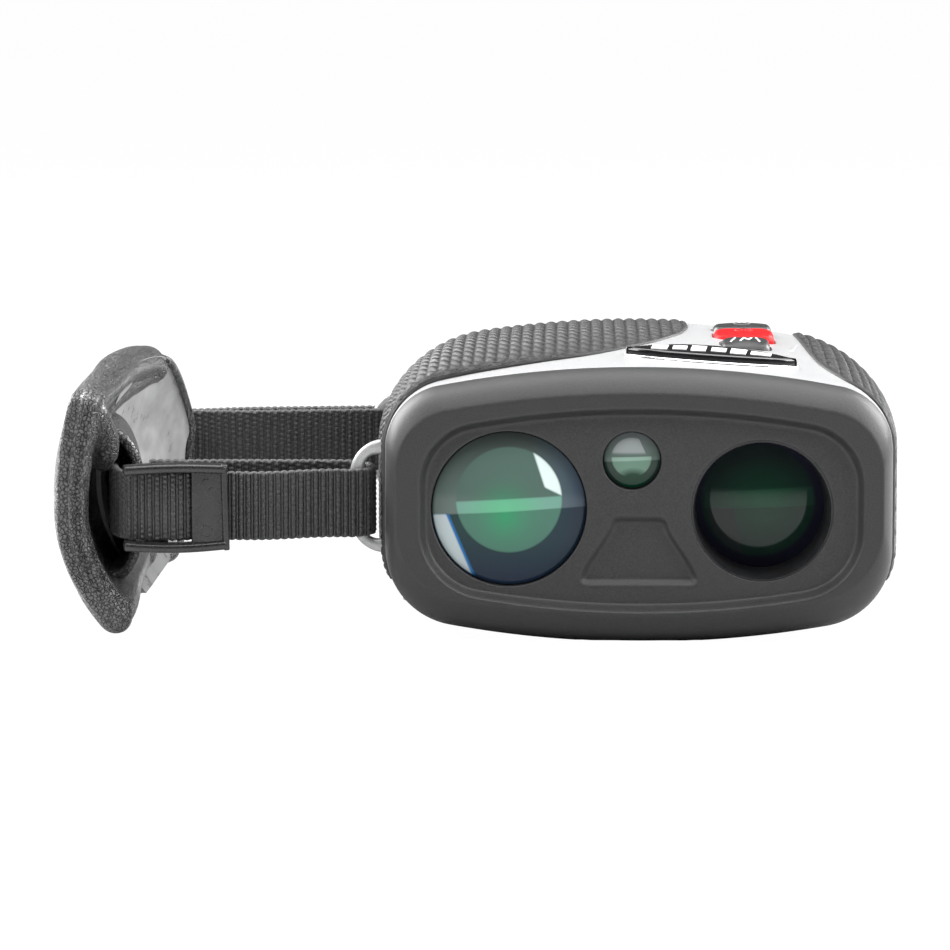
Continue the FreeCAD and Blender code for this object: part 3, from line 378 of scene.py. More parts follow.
def graphite_plastic():
    paint = Paint("graphite_plastic", 0.46, 0.0, 0.45)
    grit = paint.noise(4200, 2.0, 0.7)
    fine = paint.cells(3600)
    cloud = paint.noise(60, 2.0)
    base = paint.blend(paint.spread(grit, 0.35, 0.7), (0.010, 0.010, 0.0105), (0.026, 0.026, 0.027))
    paint.colour(paint.blend(paint.spread(cloud, 0.3, 0.7, 0, 0.25), base, (0.02, 0.02, 0.021)))
    paint.rough(grit, 0.44, 0.58)
    paint.bump(fine, 0.00004, 0.35)
    paint.bump(grit, 0.00003, 0.4)
    return paint.material


def grip_rubber():
    paint = Paint("grip_rubber", 0.55, 0.0, 0.4)
    dust = paint.noise(900, 3.0)
    fine = paint.noise(6000, 2.0)
    face = paint.mottle(dust, (0.016, 0.016, 0.0165), (0.03, 0.03, 0.031))
    # Painted shade: the grooves between the lozenges are laid near black.
    paint.colour(paint.blend(paint.hollow(0.47, 0.53), (0.002, 0.002, 0.002), face))
    paint.rough(dust, 0.48, 0.62)
    paint.bump(fine, 0.00002, 0.5)
    return paint.material


def plain(name, low, high, roughness, specular=0.5, metallic=0.0, coat=0.0, scale=1800, bump=0.00001,
          spread=0.08, stretch=None):
    """A moulded or machined finish: mottled colour, uneven gloss and a fine grain."""
    paint = Paint(name, roughness, metallic, specular, coat=coat, coat_rough=0.06)
    mottle = paint.noise(scale * 0.12, 3.0)
    grain = paint.noise(scale, 2.0, 0.6, stretch)
    paint.colour(paint.mottle(mottle, low, high))
    paint.rough(grain, roughness - spread, roughness + spread)
    if bump:
        paint.bump(grain, bump, 0.5)
    return paint.material


def grey(level, blue=0.0):
    """A dark linear grey with a little more blue."""
    return level, level, level + blue


SILVER = silver_paint()
GRAPHITE = graphite_plastic()
RUBBER = grip_rubber()
SEAL = plain("seal_rubber", grey(0.012), grey(0.02), 0.5)
ALLOY = plain("black_alloy", grey(0.008, 0.001), grey(0.016, 0.002), 0.42, 0.5, 0.3, scale=2600)
POLYMER = plain("black_polymer", grey(0.008, 0.0005), grey(0.016, 0.0005), 0.3, 0.5, scale=2200)
CHROME = plain("bright_chrome", (0.86, 0.87, 0.88), (0.93, 0.935, 0.94), 0.1, 0.5, 1.0, bump=0, spread=0.03)
GLOSS = plain("gloss_black", grey(0.004, 0.001), grey(0.008, 0.001), 0.1, 0.6, coat=1.0, bump=0, spread=0.03)
KEY_RED = plain("key_red", (0.5, 0.001, 0.003), (0.6, 0.002, 0.004), 0.5, 0.15, bump=0.000005)
KEY_BLACK = plain("key_black", grey(0.012, 0.0005), grey(0.022, 0.001), 0.42, 0.4, coat=0.05, bump=0.000005)
BOARD = plain("circuit_board", (0.01, 0.11, 0.04), (0.02, 0.17, 0.07), 0.35, 0.5, coat=0.3, scale=900)
STEEL = plain("plain_steel", (0.45, 0.46, 0.47), (0.58, 0.59, 0.6), 0.3, 0.5, 1.0, stretch=(1, 1, 12))
WRAP = plain("cell_wrap", (0.03, 0.05, 0.09), (0.05, 0.07, 0.12), 0.3, 0.5, 0.4)
KEY_PRINT = plain("key_red_print", (0.3, 0.004, 0.008), (0.36, 0.006, 0.012), 0.4, bump=0)
KEY_GREY = plain("key_grey_print", grey(0.12), grey(0.16), 0.4, bump=0)
ICON = plain("key_print", grey(0.62), grey(0.7), 0.5, bump=0)


# --- shells -----------------------------------------------------------------------------------


def stepped(first, last, step, edge=(0.0, 0.05, 0.15, 0.4)):
    """Stations from first to last, closer together at both ends."""
    inner = np.linspace(first + edge[-1], last - edge[-1], max(2, round((last - first) / step)))
    return [*(first + e for e in edge[:-1]), *inner, *(last - e for e in reversed(edge[:-1]))]


def edge_drop(distance):
    """How far a rounded edge falls away, by distance from the edge."""
    reach = 0.18
    t = min(1.0, distance / reach)
    return -reach * (1 - math.sqrt(max(0.0, 1 - (1 - t) ** 2)))


def build_shell(name, s_range, columns, floor):
    """Loops along the outside and back along the inside for each station, with a wall at both ends."""
    loops = []
    for y in stepped(SEAM, REAR_SEAM, 1.0):
        row = Row(y)
        first, last = s_range(row)
        s = np.linspace(first, last, columns)
        near_end = min(y - SEAM, REAR_SEAM - y)
        near_side = np.minimum(s - first, last - s)
        lift = np.array([edge_drop(d) for d in near_side]) + edge_drop(near_end)
        loop = np.concatenate([row.points(s, lift), row.points(s[::-1], -WALL)])
        loop[:, 2] = np.maximum(loop[:, 2], floor)
        loops.append(loop)
    obj = skin(name, loops, SILVER, True, False, 50)
    work = bmesh.new()
    work.from_mesh(obj.data)
    work.verts.ensure_lookup_table()
    for loop_start in (0, (len(loops) - 1) * 2 * columns):
        end_loop = [work.verts[loop_start + i] for i in range(2 * columns)]
        for i in range(columns - 1):
            back = 2 * columns - 1 - i
            work.faces.new((end_loop[i], end_loop[i + 1], end_loop[back - 1], end_loop[back]))
    bmesh.ops.recalc_face_normals(work, faces=work.faces)
    work.to_mesh(obj.data)
    work.free()
    shade_smooth(obj.data)
    return obj


def box_cutter(low, high, corner):
    """Upright rounded block used to cut a well."""
    work = bmesh.new()
    bmesh.ops.create_cube(work, size=1.0)
    for vert in work.verts:
        for axis in range(3):
            vert.co[axis] = (low[axis] if vert.co[axis] < 0 else high[axis]) * MM
    upright = [e for e in work.edges if abs(e.verts[0].co.z - e.verts[1].co.z) > 1e-6]
    bmesh.ops.bevel(work, geom=upright, offset=corner * MM, segments=8, affect="EDGES", profile=0.5)
    return linked("cutter", mesh_from(work, "cutter"))


def subtract(obj, cutters):
    """Cuts the cutters out of the object and deletes them."""
    for cutter in cutters:
        modifier = obj.modifiers.new("cut", "BOOLEAN")
        modifier.operation = "DIFFERENCE"
        modifier.solver = "EXACT"
        modifier.object = cutter
    apply_modifiers(obj)
    for cutter in cutters:
        bpy.data.objects.remove(cutter)


KEYS = ("mode_button", "measure_button", "power_button")
FLANGE = 0.5
WELL_GAP = 0.25
WELL_BELOW, WELL_ABOVE = 6.0, 5.0


def key_box(name):
    """Plan of a key's cap in millimetres, without its flange under the shell."""
    low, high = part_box(name)
    near = [low.x / MM + FLANGE, low.y / MM + FLANGE]
    far = [high.x / MM - FLANGE, high.y / MM - FLANGE]
    return near, far, high.z / MM


def upper_range(row):
    reach = row.s_of_z(SPLIT)
    return -reach, reach


def lower_range(row):
    reach = row.s_of_z(SPLIT)
    return reach, 2 * row.length - reach


def key_well(key):
    """The cutter for one key's opening in the upper shell."""
    low, high, top = key_box(key)
    corner = min(high[0] - low[0], high[1] - low[1]) * 0.3 + WELL_GAP
    near = (low[0] - WELL_GAP, low[1] - WELL_GAP, top - WELL_BELOW)
    return box_cutter(near, (high[0] + WELL_GAP, high[1] + WELL_GAP, top + WELL_ABOVE), corner)


upper = build_shell("casing_top", upper_range, 300, -BELLY)
subtract(upper, [key_well(key) for key in KEYS])
upper.data.set_sharp_from_angle(angle=math.radians(35))
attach(upper, "housing")
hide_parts("upper_shell")

lower = build_shell("casing_belly", lower_range, 220, 0.0)
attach(lower, "housing")
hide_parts("lower_shell")


# --- grips ------------------------------------------------------------------------------------

LEFT_EDGE = [
    (-42.8, -38.8), (-41.4, -31.0), (-39.2, -17.7), (-36.2, -8.0), (-31.0, -1.4), (-24.0, 4.0),
    (-15.0, 7.4), (-4.0, 8.4), (14.0, 8.4), (30.0, 4.0), (38.0, -6.0), (40.5, -20.0),
]
RIGHT_EDGE = [
    (-42.8, 38.4), (-42.2, 36.4), (-39.6, 31.6), (-31.0, 28.0), (-16.0, 26.4), (0.0, 25.8),
    (20.0, 26.4), (36.0, 30.0), (40.5, 36.0),
]
GRIP_LOW = 9.0
GRIP_LIFT, GRIP_STEP, GRIP_EDGE = 0.35, 0.26, 0.6
GRIP_RIM = [(0.0, -0.6), (0.0, -0.05), (0.06, 0.12), (0.18, 0.28), (0.36, GRIP_LIFT)]
COLUMN_PITCH = 1.85
BUMP_PITCH = 4.0


def smooth_curve(points, at):
    """Smooth interpolation of (position, value) pairs, with no overshoot."""
    t = np.array([p[0] for p in points], float)
    v = np.array([p[1] for p in points], float)
    slopes = np.diff(v) / np.diff(t)
    product, total = slopes[1:] * slopes[:-1], slopes[1:] + slopes[:-1]
    inner = np.where(product > 0, 2 * product / (total + 1e-12), 0)
    tangents = np.concatenate([[slopes[0]], inner, [slopes[-1]]])
    at = np.asarray(at, float)
    i = np.clip(np.searchsorted(t, at) - 1, 0, len(t) - 2)
    width = t[i + 1] - t[i]
    u = (at - t[i]) / width
    return (
        (2 * u**3 - 3 * u**2 + 1) * v[i]
        + (u**3 - 2 * u**2 + u) * width * tangents[i]
        + (-2 * u**3 + 3 * u**2) * v[i + 1]
        + (u**3 - u**2) * width * tangents[i + 1]
    )


def grip_height(s, y):
    """Columns along Y, each a chain of slanted lozenges that step by half from column to column."""
    column = np.floor(s / COLUMN_PITCH)
    u = s / COLUMN_PITCH - column
    arch = 1 - np.abs(2 * u - 1) ** 2.2
    shift = np.where(np.mod(column, 2) == 0, 0.0, 0.5)
    v = y / BUMP_PITCH + shift + 0.8 * (u - 0.5)
    groove = np.abs(np.mod(v, 1.0) - 0.5) * BUMP_PITCH
    lens = np.sqrt(np.clip(1 - (2 * u - 1) ** 2, 0, 1))
    cut = np.exp(-((groove / (0.5 * lens + 0.15)) ** 2)) * lens
    return 0.38 * arch - 0.62 * cut - 0.1


def build_grip(name, edge, side, node, columns):
    """Rows across Y, from the low side edge up to the boundary curve on the top."""
    insets, lifts = [d for d, _ in GRIP_RIM], [lift for _, lift in GRIP_RIM]
    first, last = edge[0][0], edge[-1][0]
    stations = [(first + d, lift) for d, lift in GRIP_RIM]
    stations += [(y, GRIP_LIFT) for y in np.arange(first + GRIP_EDGE, last - GRIP_EDGE + 0.01, GRIP_STEP)]
    stations += [(last - d, lift) for d, lift in reversed(GRIP_RIM)]
    lift_across = np.concatenate([lifts, np.full(columns, GRIP_LIFT), lifts[::-1]])
    loops = []
    for y, row_lift in stations:
        row = Row(y)
        boundary = row.s_of_x(float(smooth_curve(edge, [y])[0]))
        a, b = sorted((side * row.s_of_z(GRIP_LOW), boundary))
        inner = np.linspace(a + GRIP_EDGE, b - GRIP_EDGE, columns)
        s = np.concatenate([a + np.array(insets), inner, b - np.array(insets[::-1])])
        inside = np.minimum(np.minimum(s - a, b - s), min(y - first, last - y))
        fade = np.clip((inside - 0.35) / 0.6, 0, 1)
        lift = np.minimum(lift_across, row_lift)
        loops.append(row.points(s, lift + fade * grip_height(s, np.full_like(s, y))))
    obj = skin(name, loops, RUBBER, False, False, 80)
    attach(obj, "housing")
    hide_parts(node)


build_grip("side_grip_left", LEFT_EDGE, -1, "left_grip", 330)
build_grip("side_grip_right", RIGHT_EDGE, 1, "right_grip", 190)


# --- bezel ------------------------------------------------------------------------------------

RIDGE_SIDE, RIDGE_TOP, RIDGE_BOTTOM = 1.75, 3.8, 4.9
PANEL = {
    "half": 32.85, "low": 6.2, "high": 35.1, "centre": 0.35,
    "low_corner": 9.5, "high_corner": 8.5, "crown": 150.0,
}
PANEL_DEEP = 1.8
PANEL_BACK = 5.0
TROUGH_TOP, TROUGH_LOW = 19.7, 8.7
TROUGH_NARROW, TROUGH_WIDE = 4.5, 9.5
TROUGH_DEEP, TROUGH_CORNER, TROUGH_SLOPE = 0.95, 1.4, 1.25
STEP_WIDTH = 1.5
MOUTH_ROUND = 0.22


def loop_points(outline, y, centre=0.0):
    """An outline as a loop at one station, cut level at the ground."""
    return at_station(outline[0] + centre, y, np.maximum(outline[1], 0.0))


def panel_outline(grow):
    return crowned_outline(
        PANEL["half"] + grow, PANEL["low"] - grow, PANEL["high"] + grow,
        PANEL["low_corner"] + grow, PANEL["high_corner"] + grow, PANEL["crown"],
    )


def rim_outline(side, top, bottom):
    """The seam's outline, drawn in at its sides, top and bottom."""
    return crowned_outline(
        half_width_at(SEAM) - side, -BELLY + bottom, top_at(SEAM) - top, BOTTOM_CORNER - 0.3 * side,
        TOP_CORNER - 0.3 * side, CROWN,
    )


def trough_depth(x, z):
    """Depth of the bell-shaped dimple in the panel."""
    t = np.clip((TROUGH_TOP - z) / (TROUGH_TOP - TROUGH_LOW), 0, 1)
    half = TROUGH_NARROW + (TROUGH_WIDE - TROUGH_NARROW) * ease(t)
    corner = TROUGH_CORNER
    dx = half - np.abs(x)
    dz = np.minimum(TROUGH_TOP - z, z - TROUGH_LOW)
    inside = corner - np.hypot(np.maximum(corner - dx, 0), np.maximum(corner - dz, 0))
    inside = np.where((dx > corner) & (dz > corner), np.minimum(dx, dz), inside)
    return TROUGH_DEEP * ease(np.clip(inside / TROUGH_SLOPE, 0, 1))


def axis_of(node):
    """x and z of a round node's axis along Y."""
    low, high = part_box(node)
    return (low.x + high.x) / 2 / MM, (low.z + high.z) / 2 / MM


WINDOWS = {
    "receiver": (*axis_of("receiver_cell"), 12.0),
    "objective": (*axis_of("objective_tube"), 10.9),
    "emitter": (*axis_of("emitter_cell"), 4.5),
}


def filled_plane(outer, holes, y, spacing=0.0, depth=None):
    """Triangles inside an outer loop and outside round holes, on a plane across Y."""
    flat, edges = [], []
    for loop in [outer, *holes]:
        start = len(flat)
        flat += [(float(p[0]), float(p[2])) for p in loop]
        edges += [(start + i, start + (i + 1) % len(loop)) for i in range(len(loop))]
    path = outer[:, [0, 2]]
    if spacing:
        low, high = np.min(path, axis=0), np.max(path, axis=0)
        for z in np.arange(low[1] + spacing, high[1], spacing):
            for x in np.arange(low[0] + spacing, high[0], spacing):
                clear = all(math.hypot(x - cx, z - cz) > r + spacing * 0.7 for cx, cz, r in WINDOWS.values())
                if not clear or abs(x - PANEL["centre"]) >= PANEL["half"]:
                    continue
                gap = np.min(np.hypot(path[:, 0] - x, path[:, 1] - z))
                if gap > spacing * 0.6 and point_inside(path, x, z):
                    flat.append((x, z))
    out = geometry.delaunay_2d_cdt([Vector(p) for p in flat], edges, [], 0, 1e-6)
    points = np.array([(p.x, y, p.y) for p in out[0]])
    if depth is not None:
        points[:, 1] += depth(points[:, 0], points[:, 2])
    discs = [(np.mean(hole[:, 0]), np.mean(hole[:, 2]), np.ptp(hole[:, 0]) / 2) for hole in holes]
    kept = []
    for face in out[2]:
        cx, cz = np.mean([points[i][0] for i in face]), np.mean([points[i][2] for i in face])
        in_hole = any(math.hypot(cx - hx, cz - hz) < radius * 0.999 for hx, hz, radius in discs)
        if not in_hole and point_inside(path, cx, cz):
            kept.append(tuple(face))
    return points, kept


def point_inside(path, x, z):
    """Whether a point lies inside a closed path, by counting crossings."""
    x0, z0 = path[:, 0], path[:, 1]
    x1, z1 = np.roll(x0, -1), np.roll(z0, -1)
    crossing = (z0 > z) != (z1 > z)
    with np.errstate(divide="ignore", invalid="ignore"):
        at = x0 + (z - z0) * (x1 - x0) / (z1 - z0)
    return bool(np.sum(crossing & (x < at)) % 2)


def build_bezel():
    """The front frame: rounded shoulder, ridge, step down to the panel, dimple and window mouths."""
    loops = [loop_points(housing_outline(SEAM), SEAM)]
    shoulder = math.radians(62)
    for i in range(15):
        angle = shoulder * i / 14
        share = (1 - math.cos(angle)) / (1 - math.cos(shoulder))
        y = SEAM + (FRONT - SEAM) * (0.03 + 0.97 * math.sin(angle) / math.sin(shoulder))
        ridge = rim_outline(RIDGE_SIDE * share, RIDGE_TOP * share, RIDGE_BOTTOM * share)
        loops.append(loop_points(ridge, y))
    ridge, step_edge = loops[-1], loop_points(panel_outline(STEP_WIDTH), FRONT, PANEL["centre"])
    loops += [ridge * (1 - share) + step_edge * share for share in (0.06, 0.3, 0.6, 0.9, 1.0)]
    for t in np.linspace(0, 1, 9)[1:]:
        y = FRONT + PANEL_DEEP * ease(t)
        loops.append(loop_points(panel_outline(STEP_WIDTH * (1 - t)), y, PANEL["centre"]))
    panel_y, back_y = FRONT + PANEL_DEEP, FRONT + PANEL_BACK
    inner_seam = loop_points(shrunk_housing(WALL), SEAM)
    inner_back = loop_points(shrunk_housing(2.8), back_y)
    points = np.concatenate([inner_back, inner_seam, *loops])
    faces = grid_faces(len(loops) + 2, len(loops[0]), 0, True, False)
    holes = [circle(x, z, r + MOUTH_ROUND, panel_y) for x, z, r in WINDOWS.values()]
    back_holes = [circle(x, z, r, back_y) for x, z, r in WINDOWS.values()]
    front = filled_plane(loops[-1], holes, panel_y, 0.42, trough_depth)
    for plane, plane_faces in (front, filled_plane(inner_back, back_holes, back_y)):
        faces += [tuple(i + len(points) for i in f) for f in plane_faces]
        points = np.concatenate([points, plane])
    for (x, z, r), hole, back_hole in zip(WINDOWS.values(), holes, back_holes):
        rings = [hole]
        for angle in np.linspace(0, math.pi / 2, 6)[1:]:
            grow, sink = MOUTH_ROUND * (1 - math.sin(angle)), MOUTH_ROUND * (1 - math.cos(angle))
            rings.append(circle(x, z, r + grow, panel_y + sink))
        rings.append(back_hole)
        faces += grid_faces(len(rings), len(hole), len(points), True, False)
        points = np.concatenate([points, *rings])
    obj = make_piece("front_frame", points, faces, GRAPHITE, 50)
    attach(obj, "housing")
    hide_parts("front_bezel")


def shrunk_housing(inset):
    return crowned_outline(
        half_width_at(SEAM) - inset, -BELLY + inset, top_at(SEAM) - inset, BOTTOM_CORNER - inset,
        TOP_CORNER - inset, CROWN - inset,
    )


build_bezel()


# --- more materials ---------------------------------------------------------------------------


def tone(red, green, blue):
    """A display colour, 0 to 255, as the linear colour that a shader takes."""
    shares = (c / 255 for c in (red, green, blue))
    return tuple(c / 12.92 if c <= 0.04045 else ((c + 0.055) / 1.055) ** 2.4 for c in shares)


def webbing_material():
    paint = Paint("strap_webbing", 0.55, 0.0, 0.5, sheen=0.1)
    fibre = paint.noise(5200, 2.0, 0.6, (1, 1, 0.35))
    patch = paint.noise(320, 2.0)
    yarn = paint.mottle(fibre, tone(10, 10, 11), tone(62, 62, 63))
    # Painted shade: the gaps between the ribs are laid near black.
    paint.colour(paint.blend(paint.hollow(0.44, 0.52), tone(5, 5, 5), yarn))
    paint.rough(patch, 0.42, 0.6)
    paint.bump(fibre, 0.00006, 0.6)
    return paint.material


def leather_material():
    paint = Paint("pad_leather", 0.36, 0.0, 0.6, coat=0.2, coat_rough=0.28)
    grain = paint.cells(1600, "DISTANCE_TO_EDGE")
    small = paint.noise(3000, 3.0, 0.6)
    patch = paint.noise(160, 3.0)
    crease = paint.spread(grain, 0.0, 0.16)
    paint.colour(paint.blend(crease, tone(4, 4, 5), tone(74, 74, 75)))
    paint.rough(patch, 0.3, 0.44)
    paint.bump(crease, 0.0004, 1.0)
    paint.bump(small, 0.00014, 0.7)
    return paint.material


def painted_sheen_lining_material():
    paint = Paint("pad_cloth", 0.3, 0.0, 0.7, sheen=0.3, coat=0.35, coat_rough=0.25)
    fine = paint.noise(3800, 2.0)
    patch = paint.noise(220, 3.0)
    # Painted sheen: the light grey base stands for light off a dark glossy lining; the sheen and coat
    # settings add real gloss over it.
    paint.colour(paint.mottle(patch, tone(104, 104, 105), tone(150, 150, 151)))
    paint.rough(patch, 0.24, 0.4)
    paint.bump(fine, 0.00005, 0.5)
    return paint.material


WEBBING = webbing_material()
LEATHER = leather_material()
PAINTED_SHEEN_LINING = painted_sheen_lining_material()


class ReflectionPaint(Paint):
    """Painted reflections on a lens, laid as colour by place on it: u to the right and v up, in lens radii.
    """

    def __init__(self, name, x, z, radius):
        super().__init__(name, 0.07, 0.0, 0.22, coat=0.0)
        place = self.separate()
        self.u = self.math("MULTIPLY_ADD", place[0], 1 / (radius * MM), -x / radius)
        self.v = self.math("MULTIPLY_ADD", place[2], 1 / (radius * MM), -z / radius)
        self.base = None

    def distance(self, u, v, stretch=1.0):
        across = self.math("MULTIPLY", self.math("SUBTRACT", self.u, u), stretch)
        up = self.math("SUBTRACT", self.v, v)
        squares = self.math("ADD", self.math("MULTIPLY", across, across), self.math("MULTIPLY", up, up))
        return self.math("SQRT", squares)

    def disc(self, u, v, radius, soft=0.012, stretch=1.0):
        return self.spread(self.distance(u, v, stretch), radius + soft, radius - soft)

    def beside(self, start, end, soft=0.012):
        """1 to the left of the line from start to end."""
        du, dv = end[0] - start[0], end[1] - start[1]
        length = math.hypot(du, dv)
        across = self.math("MULTIPLY_ADD", self.u, -dv / length, (dv * start[0] - du * start[1]) / length)
        value = self.math("MULTIPLY_ADD", self.v, du / length, across)
        return self.spread(value, -soft, soft)

    def lay(self, colour, *masks):
        """Lays a colour over what is there, where all masks are 1; without a mask it is the ground."""
        if not masks:
            self.base = colour
            return
        mask = masks[0]
        for other in masks[1:]:
            mask = self.math("MULTIPLY", mask, other)
        self.base = self.blend(mask, self.base, colour)

    def done(self):
        self.colour(self.base)
        return self.material


def receiver_painted_reflections(x, z, radius):
    """Painted reflections as colour: a reflected sky above, a reflected dark ground below, a painted green
    glow, a painted light flare and two painted reflected stripes.
    """
    paint = ReflectionPaint("receiver_painted_reflections", x, z, radius)
    # Painted reflection of a sky: lighter towards the top, bluer to the right.
    paint.lay(paint.blend(paint.spread(paint.v, 0.95, 0.1), tone(52, 58, 56), tone(84, 98, 93)))
    paint.lay(tone(60, 72, 86), paint.spread(paint.u, 0.3, 0.95))
    # Painted reflection of a dark ground below a tilted horizon.
    ground = paint.beside((0.97, 0.03), (-0.97, -0.085))
    above = paint.spread(ground, 1, 0)
    deep = paint.blend(paint.spread(paint.v, -0.25, -0.9), tone(8, 44, 44), tone(20, 34, 52))
    paint.lay(paint.blend(paint.spread(paint.u, 0.35, 0.9), deep, tone(14, 32, 48)), ground)
    # A lighter inner disc, split the same way into painted sky and ground, with a painted light band across
    # it.
    disc = paint.disc(0.0, 0.12, 0.683)
    paint.lay(tone(60, 100, 86), disc, ground)
    paint.lay(tone(74, 94, 87), disc, above, paint.beside((-0.68, 0.1), (0.68, 0.16)))
    band = (disc, above, paint.beside((0.68, 0.17), (-0.68, 0.09)))
    paint.lay(tone(98, 140, 126), *band)
    # Painted green glow round the middle.
    glow = paint.spread(paint.distance(-0.05, -0.08, 1.1), 0.62, 0.0)
    paint.lay(tone(34, 128, 84), glow, disc, paint.math("MULTIPLY", glow, 0.95))
    paint.lay(tone(88, 160, 122), *band, glow)
    # Painted light flare at the upper right of the disc.
    corner = (0.465, 0.285)
    flare_side = paint.beside(corner, (0.34, 0.66), -0.012)
    paint.lay(tone(196, 210, 208), disc, flare_side, paint.beside(corner, (0.657, 0.19)))
    # Two painted reflected stripes at the lower left, one blue and one pale.
    for shift, colour in ((0.0, tone(18, 92, 148)), (-0.04, tone(168, 180, 182))):
        stripe = paint.beside((-0.42 + shift, -0.92), (-0.80 + shift, -0.02))
        paint.lay(colour, stripe, paint.disc(0, 0, 0.985), ground)
    paint.lay(tone(24, 26, 28), paint.spread(paint.distance(0, 0), 0.975, 1.0))
    return paint.done()


def objective_painted_reflections(x, z, radius):
    """Painted reflections as colour: a dim painted green glow in a dark round window."""
    paint = ReflectionPaint("objective_painted_reflections", x, z, radius)
    # Painted reflection: lighter towards the top, a reflected ground below a tilted horizon.
    paint.lay(paint.blend(paint.spread(paint.v, 0.95, 0.2), tone(24, 29, 30), tone(28, 44, 40)))
    ground = paint.beside((0.9, -0.02), (-0.9, -0.08))
    paint.lay(tone(28, 46, 40), ground)
    above = paint.spread(ground, 1, 0)
    band = (above, paint.beside((0.85, 0.27), (-0.85, 0.17)), paint.disc(0, 0, 0.83))
    paint.lay(tone(34, 52, 46), *band)
    # Painted green glow with a painted light band across it.
    glow = paint.spread(paint.distance(0.05, -0.02, 0.9), 0.75, 0.0)
    paint.lay(tone(22, 66, 46), paint.math("MULTIPLY", glow, 0.85))
    paint.lay(tone(34, 82, 60), *band, glow)
    paint.lay(tone(40, 46, 46), ground, paint.beside((-0.28, -0.65), (-0.4, -0.05)), paint.disc(0, 0, 0.8))
    paint.lay(tone(29, 29, 43), paint.spread(paint.distance(-0.03, 0.06), 0.82, 0.88))
    paint.lay(tone(14, 15, 16), paint.spread(paint.distance(0, 0), 0.96, 1.0))
    return paint.done()


def emitter_painted_reflections(x, z, radius):
    """Painted reflections as colour: a reflected grey sky and green ground, with a small painted glint."""
    paint = ReflectionPaint("emitter_painted_reflections", x, z, radius)
    # Painted reflection of a sky, lighter towards the top, over a reflected dark green ground.
    paint.lay(paint.blend(paint.spread(paint.v, 0.9, 0.1), tone(92, 96, 97), tone(82, 96, 90)))
    ground = paint.beside((0.97, 0.02), (-0.97, -0.06), 0.03)
    paint.lay(paint.blend(paint.spread(paint.v, -0.2, -0.9), tone(30, 50, 42), tone(18, 34, 29)), ground)
    disc = paint.disc(-0.02, 0.1, 0.69, 0.02)
    paint.lay(tone(86, 114, 99), disc, ground)
    above = paint.spread(ground, 1, 0)
    paint.lay(tone(116, 142, 130), disc, paint.beside((0.68, 0.14), (-0.68, 0.1)), above)
    paint.lay(tone(4, 44, 29), paint.disc(0.05, -0.72, 0.36, 0.12, 0.7))
    # Painted glint at the upper right of the disc.
    glint = (paint.beside((0.45, 0.3), (0.3, 0.62)), paint.spread(paint.v, 0.2, 0.3))
    paint.lay(tone(128, 134, 134), disc, *glint)
    paint.lay(tone(30, 32, 32), paint.spread(paint.distance(0, 0), 0.94, 1.0))
    return paint.done()


GREEN_LOW, GREEN_HIGH = tone(20, 60, 48), tone(30, 80, 62)
INNER_GLASS = plain("inner_glass", GREEN_LOW, GREEN_HIGH, 0.05, 0.6, coat=0.6, bump=0, spread=0.02)
LOOK_OF_SLOT = {
    "silver_paint": SILVER, "graphite_plastic": GRAPHITE, "grip_rubber": RUBBER, "seal_rubber": SEAL,
    "coated_glass": INNER_GLASS, "black_alloy": ALLOY, "black_polymer": POLYMER, "bright_chrome": CHROME,
    "gloss_black": GLOSS, "key_black": KEY_BLACK, "key_red": KEY_RED, "circuit_board": BOARD,
    "plain_steel": STEEL, "cell_wrap": WRAP, "strap_webbing": WEBBING, "pad_leather": LEATHER,
    "pad_cloth": PAINTED_SHEEN_LINING,
}
for part in frame["record"]["subparts"]:
    carried = frame["nodes"].get(part["node"])
    if carried is not None and carried.type == "MESH":
        carried.data.materials.clear()
        carried.data.materials.append(LOOK_OF_SLOT[part["material_slot"]])


# --- lenses -----------------------------------------------------------------------------------

TIP = 0.0005


def dome(name, node, radius, bulge, look):
    """A lens with a spherical front, an edge and a flat back, in place of a CAD lens."""
    front, back = corner_mm(node, 0, "y"), corner_mm(node, 1, "y")
    x, z = axis_of(node)
    sphere = (radius**2 + bulge**2) / (2 * bulge)
    profile = [(TIP, back - 0.3), (radius * 0.6, back - 0.2), (radius * 0.96, back), (radius, back - 0.15)]
    profile.append((radius, front + bulge + 0.12))
    for share in np.linspace(1, 0, 40):
        reach = radius * 0.995 * share
        profile.append((max(reach, TIP), front + sphere - math.sqrt(sphere**2 - reach**2)))
    obj = lathe(name, profile, x, z, look(x, z, radius), 160, 25)
    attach(obj, "housing")
    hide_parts(node)


dome("receiver_dome", "receiver_lens", WINDOWS["receiver"][2] - 0.12, 1.6, receiver_painted_reflections)
dome("objective_dome", "objective_lens", 10.35, 1.2, objective_painted_reflections)
dome("emitter_dome", "emitter_lens", WINDOWS["emitter"][2] - 0.1, 0.7, emitter_painted_reflections)


def barrel():
    """Ringed throat in front of the objective lens."""
    x, z, radius = WINDOWS["objective"]
    front = FRONT + PANEL_DEEP + 0.25
    back = corner_mm("objective_lens", 0, "y") + 1.25
    profile = [(radius - 0.02, front), (radius - 0.3, front + 0.1)]
    steps = 9
    for i in range(steps):
        y = front + 0.6 + (back - front - 0.9) * i / steps
        inner = radius - 0.38 - 0.022 * i
        profile += [(inner, y), (inner - 0.12, y + 0.3), (inner - 0.01, y + 0.42)]
    profile += [(radius - 0.9, back - 0.2), (radius - 0.9, back), (radius - 0.02, back)]
    obj = lathe("objective_throat", profile, x, z, ALLOY, 192, 20)
    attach(obj, "housing")
    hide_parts("objective_retainer")


barrel()


# --- badge and keys ---------------------------------------------------------------------------

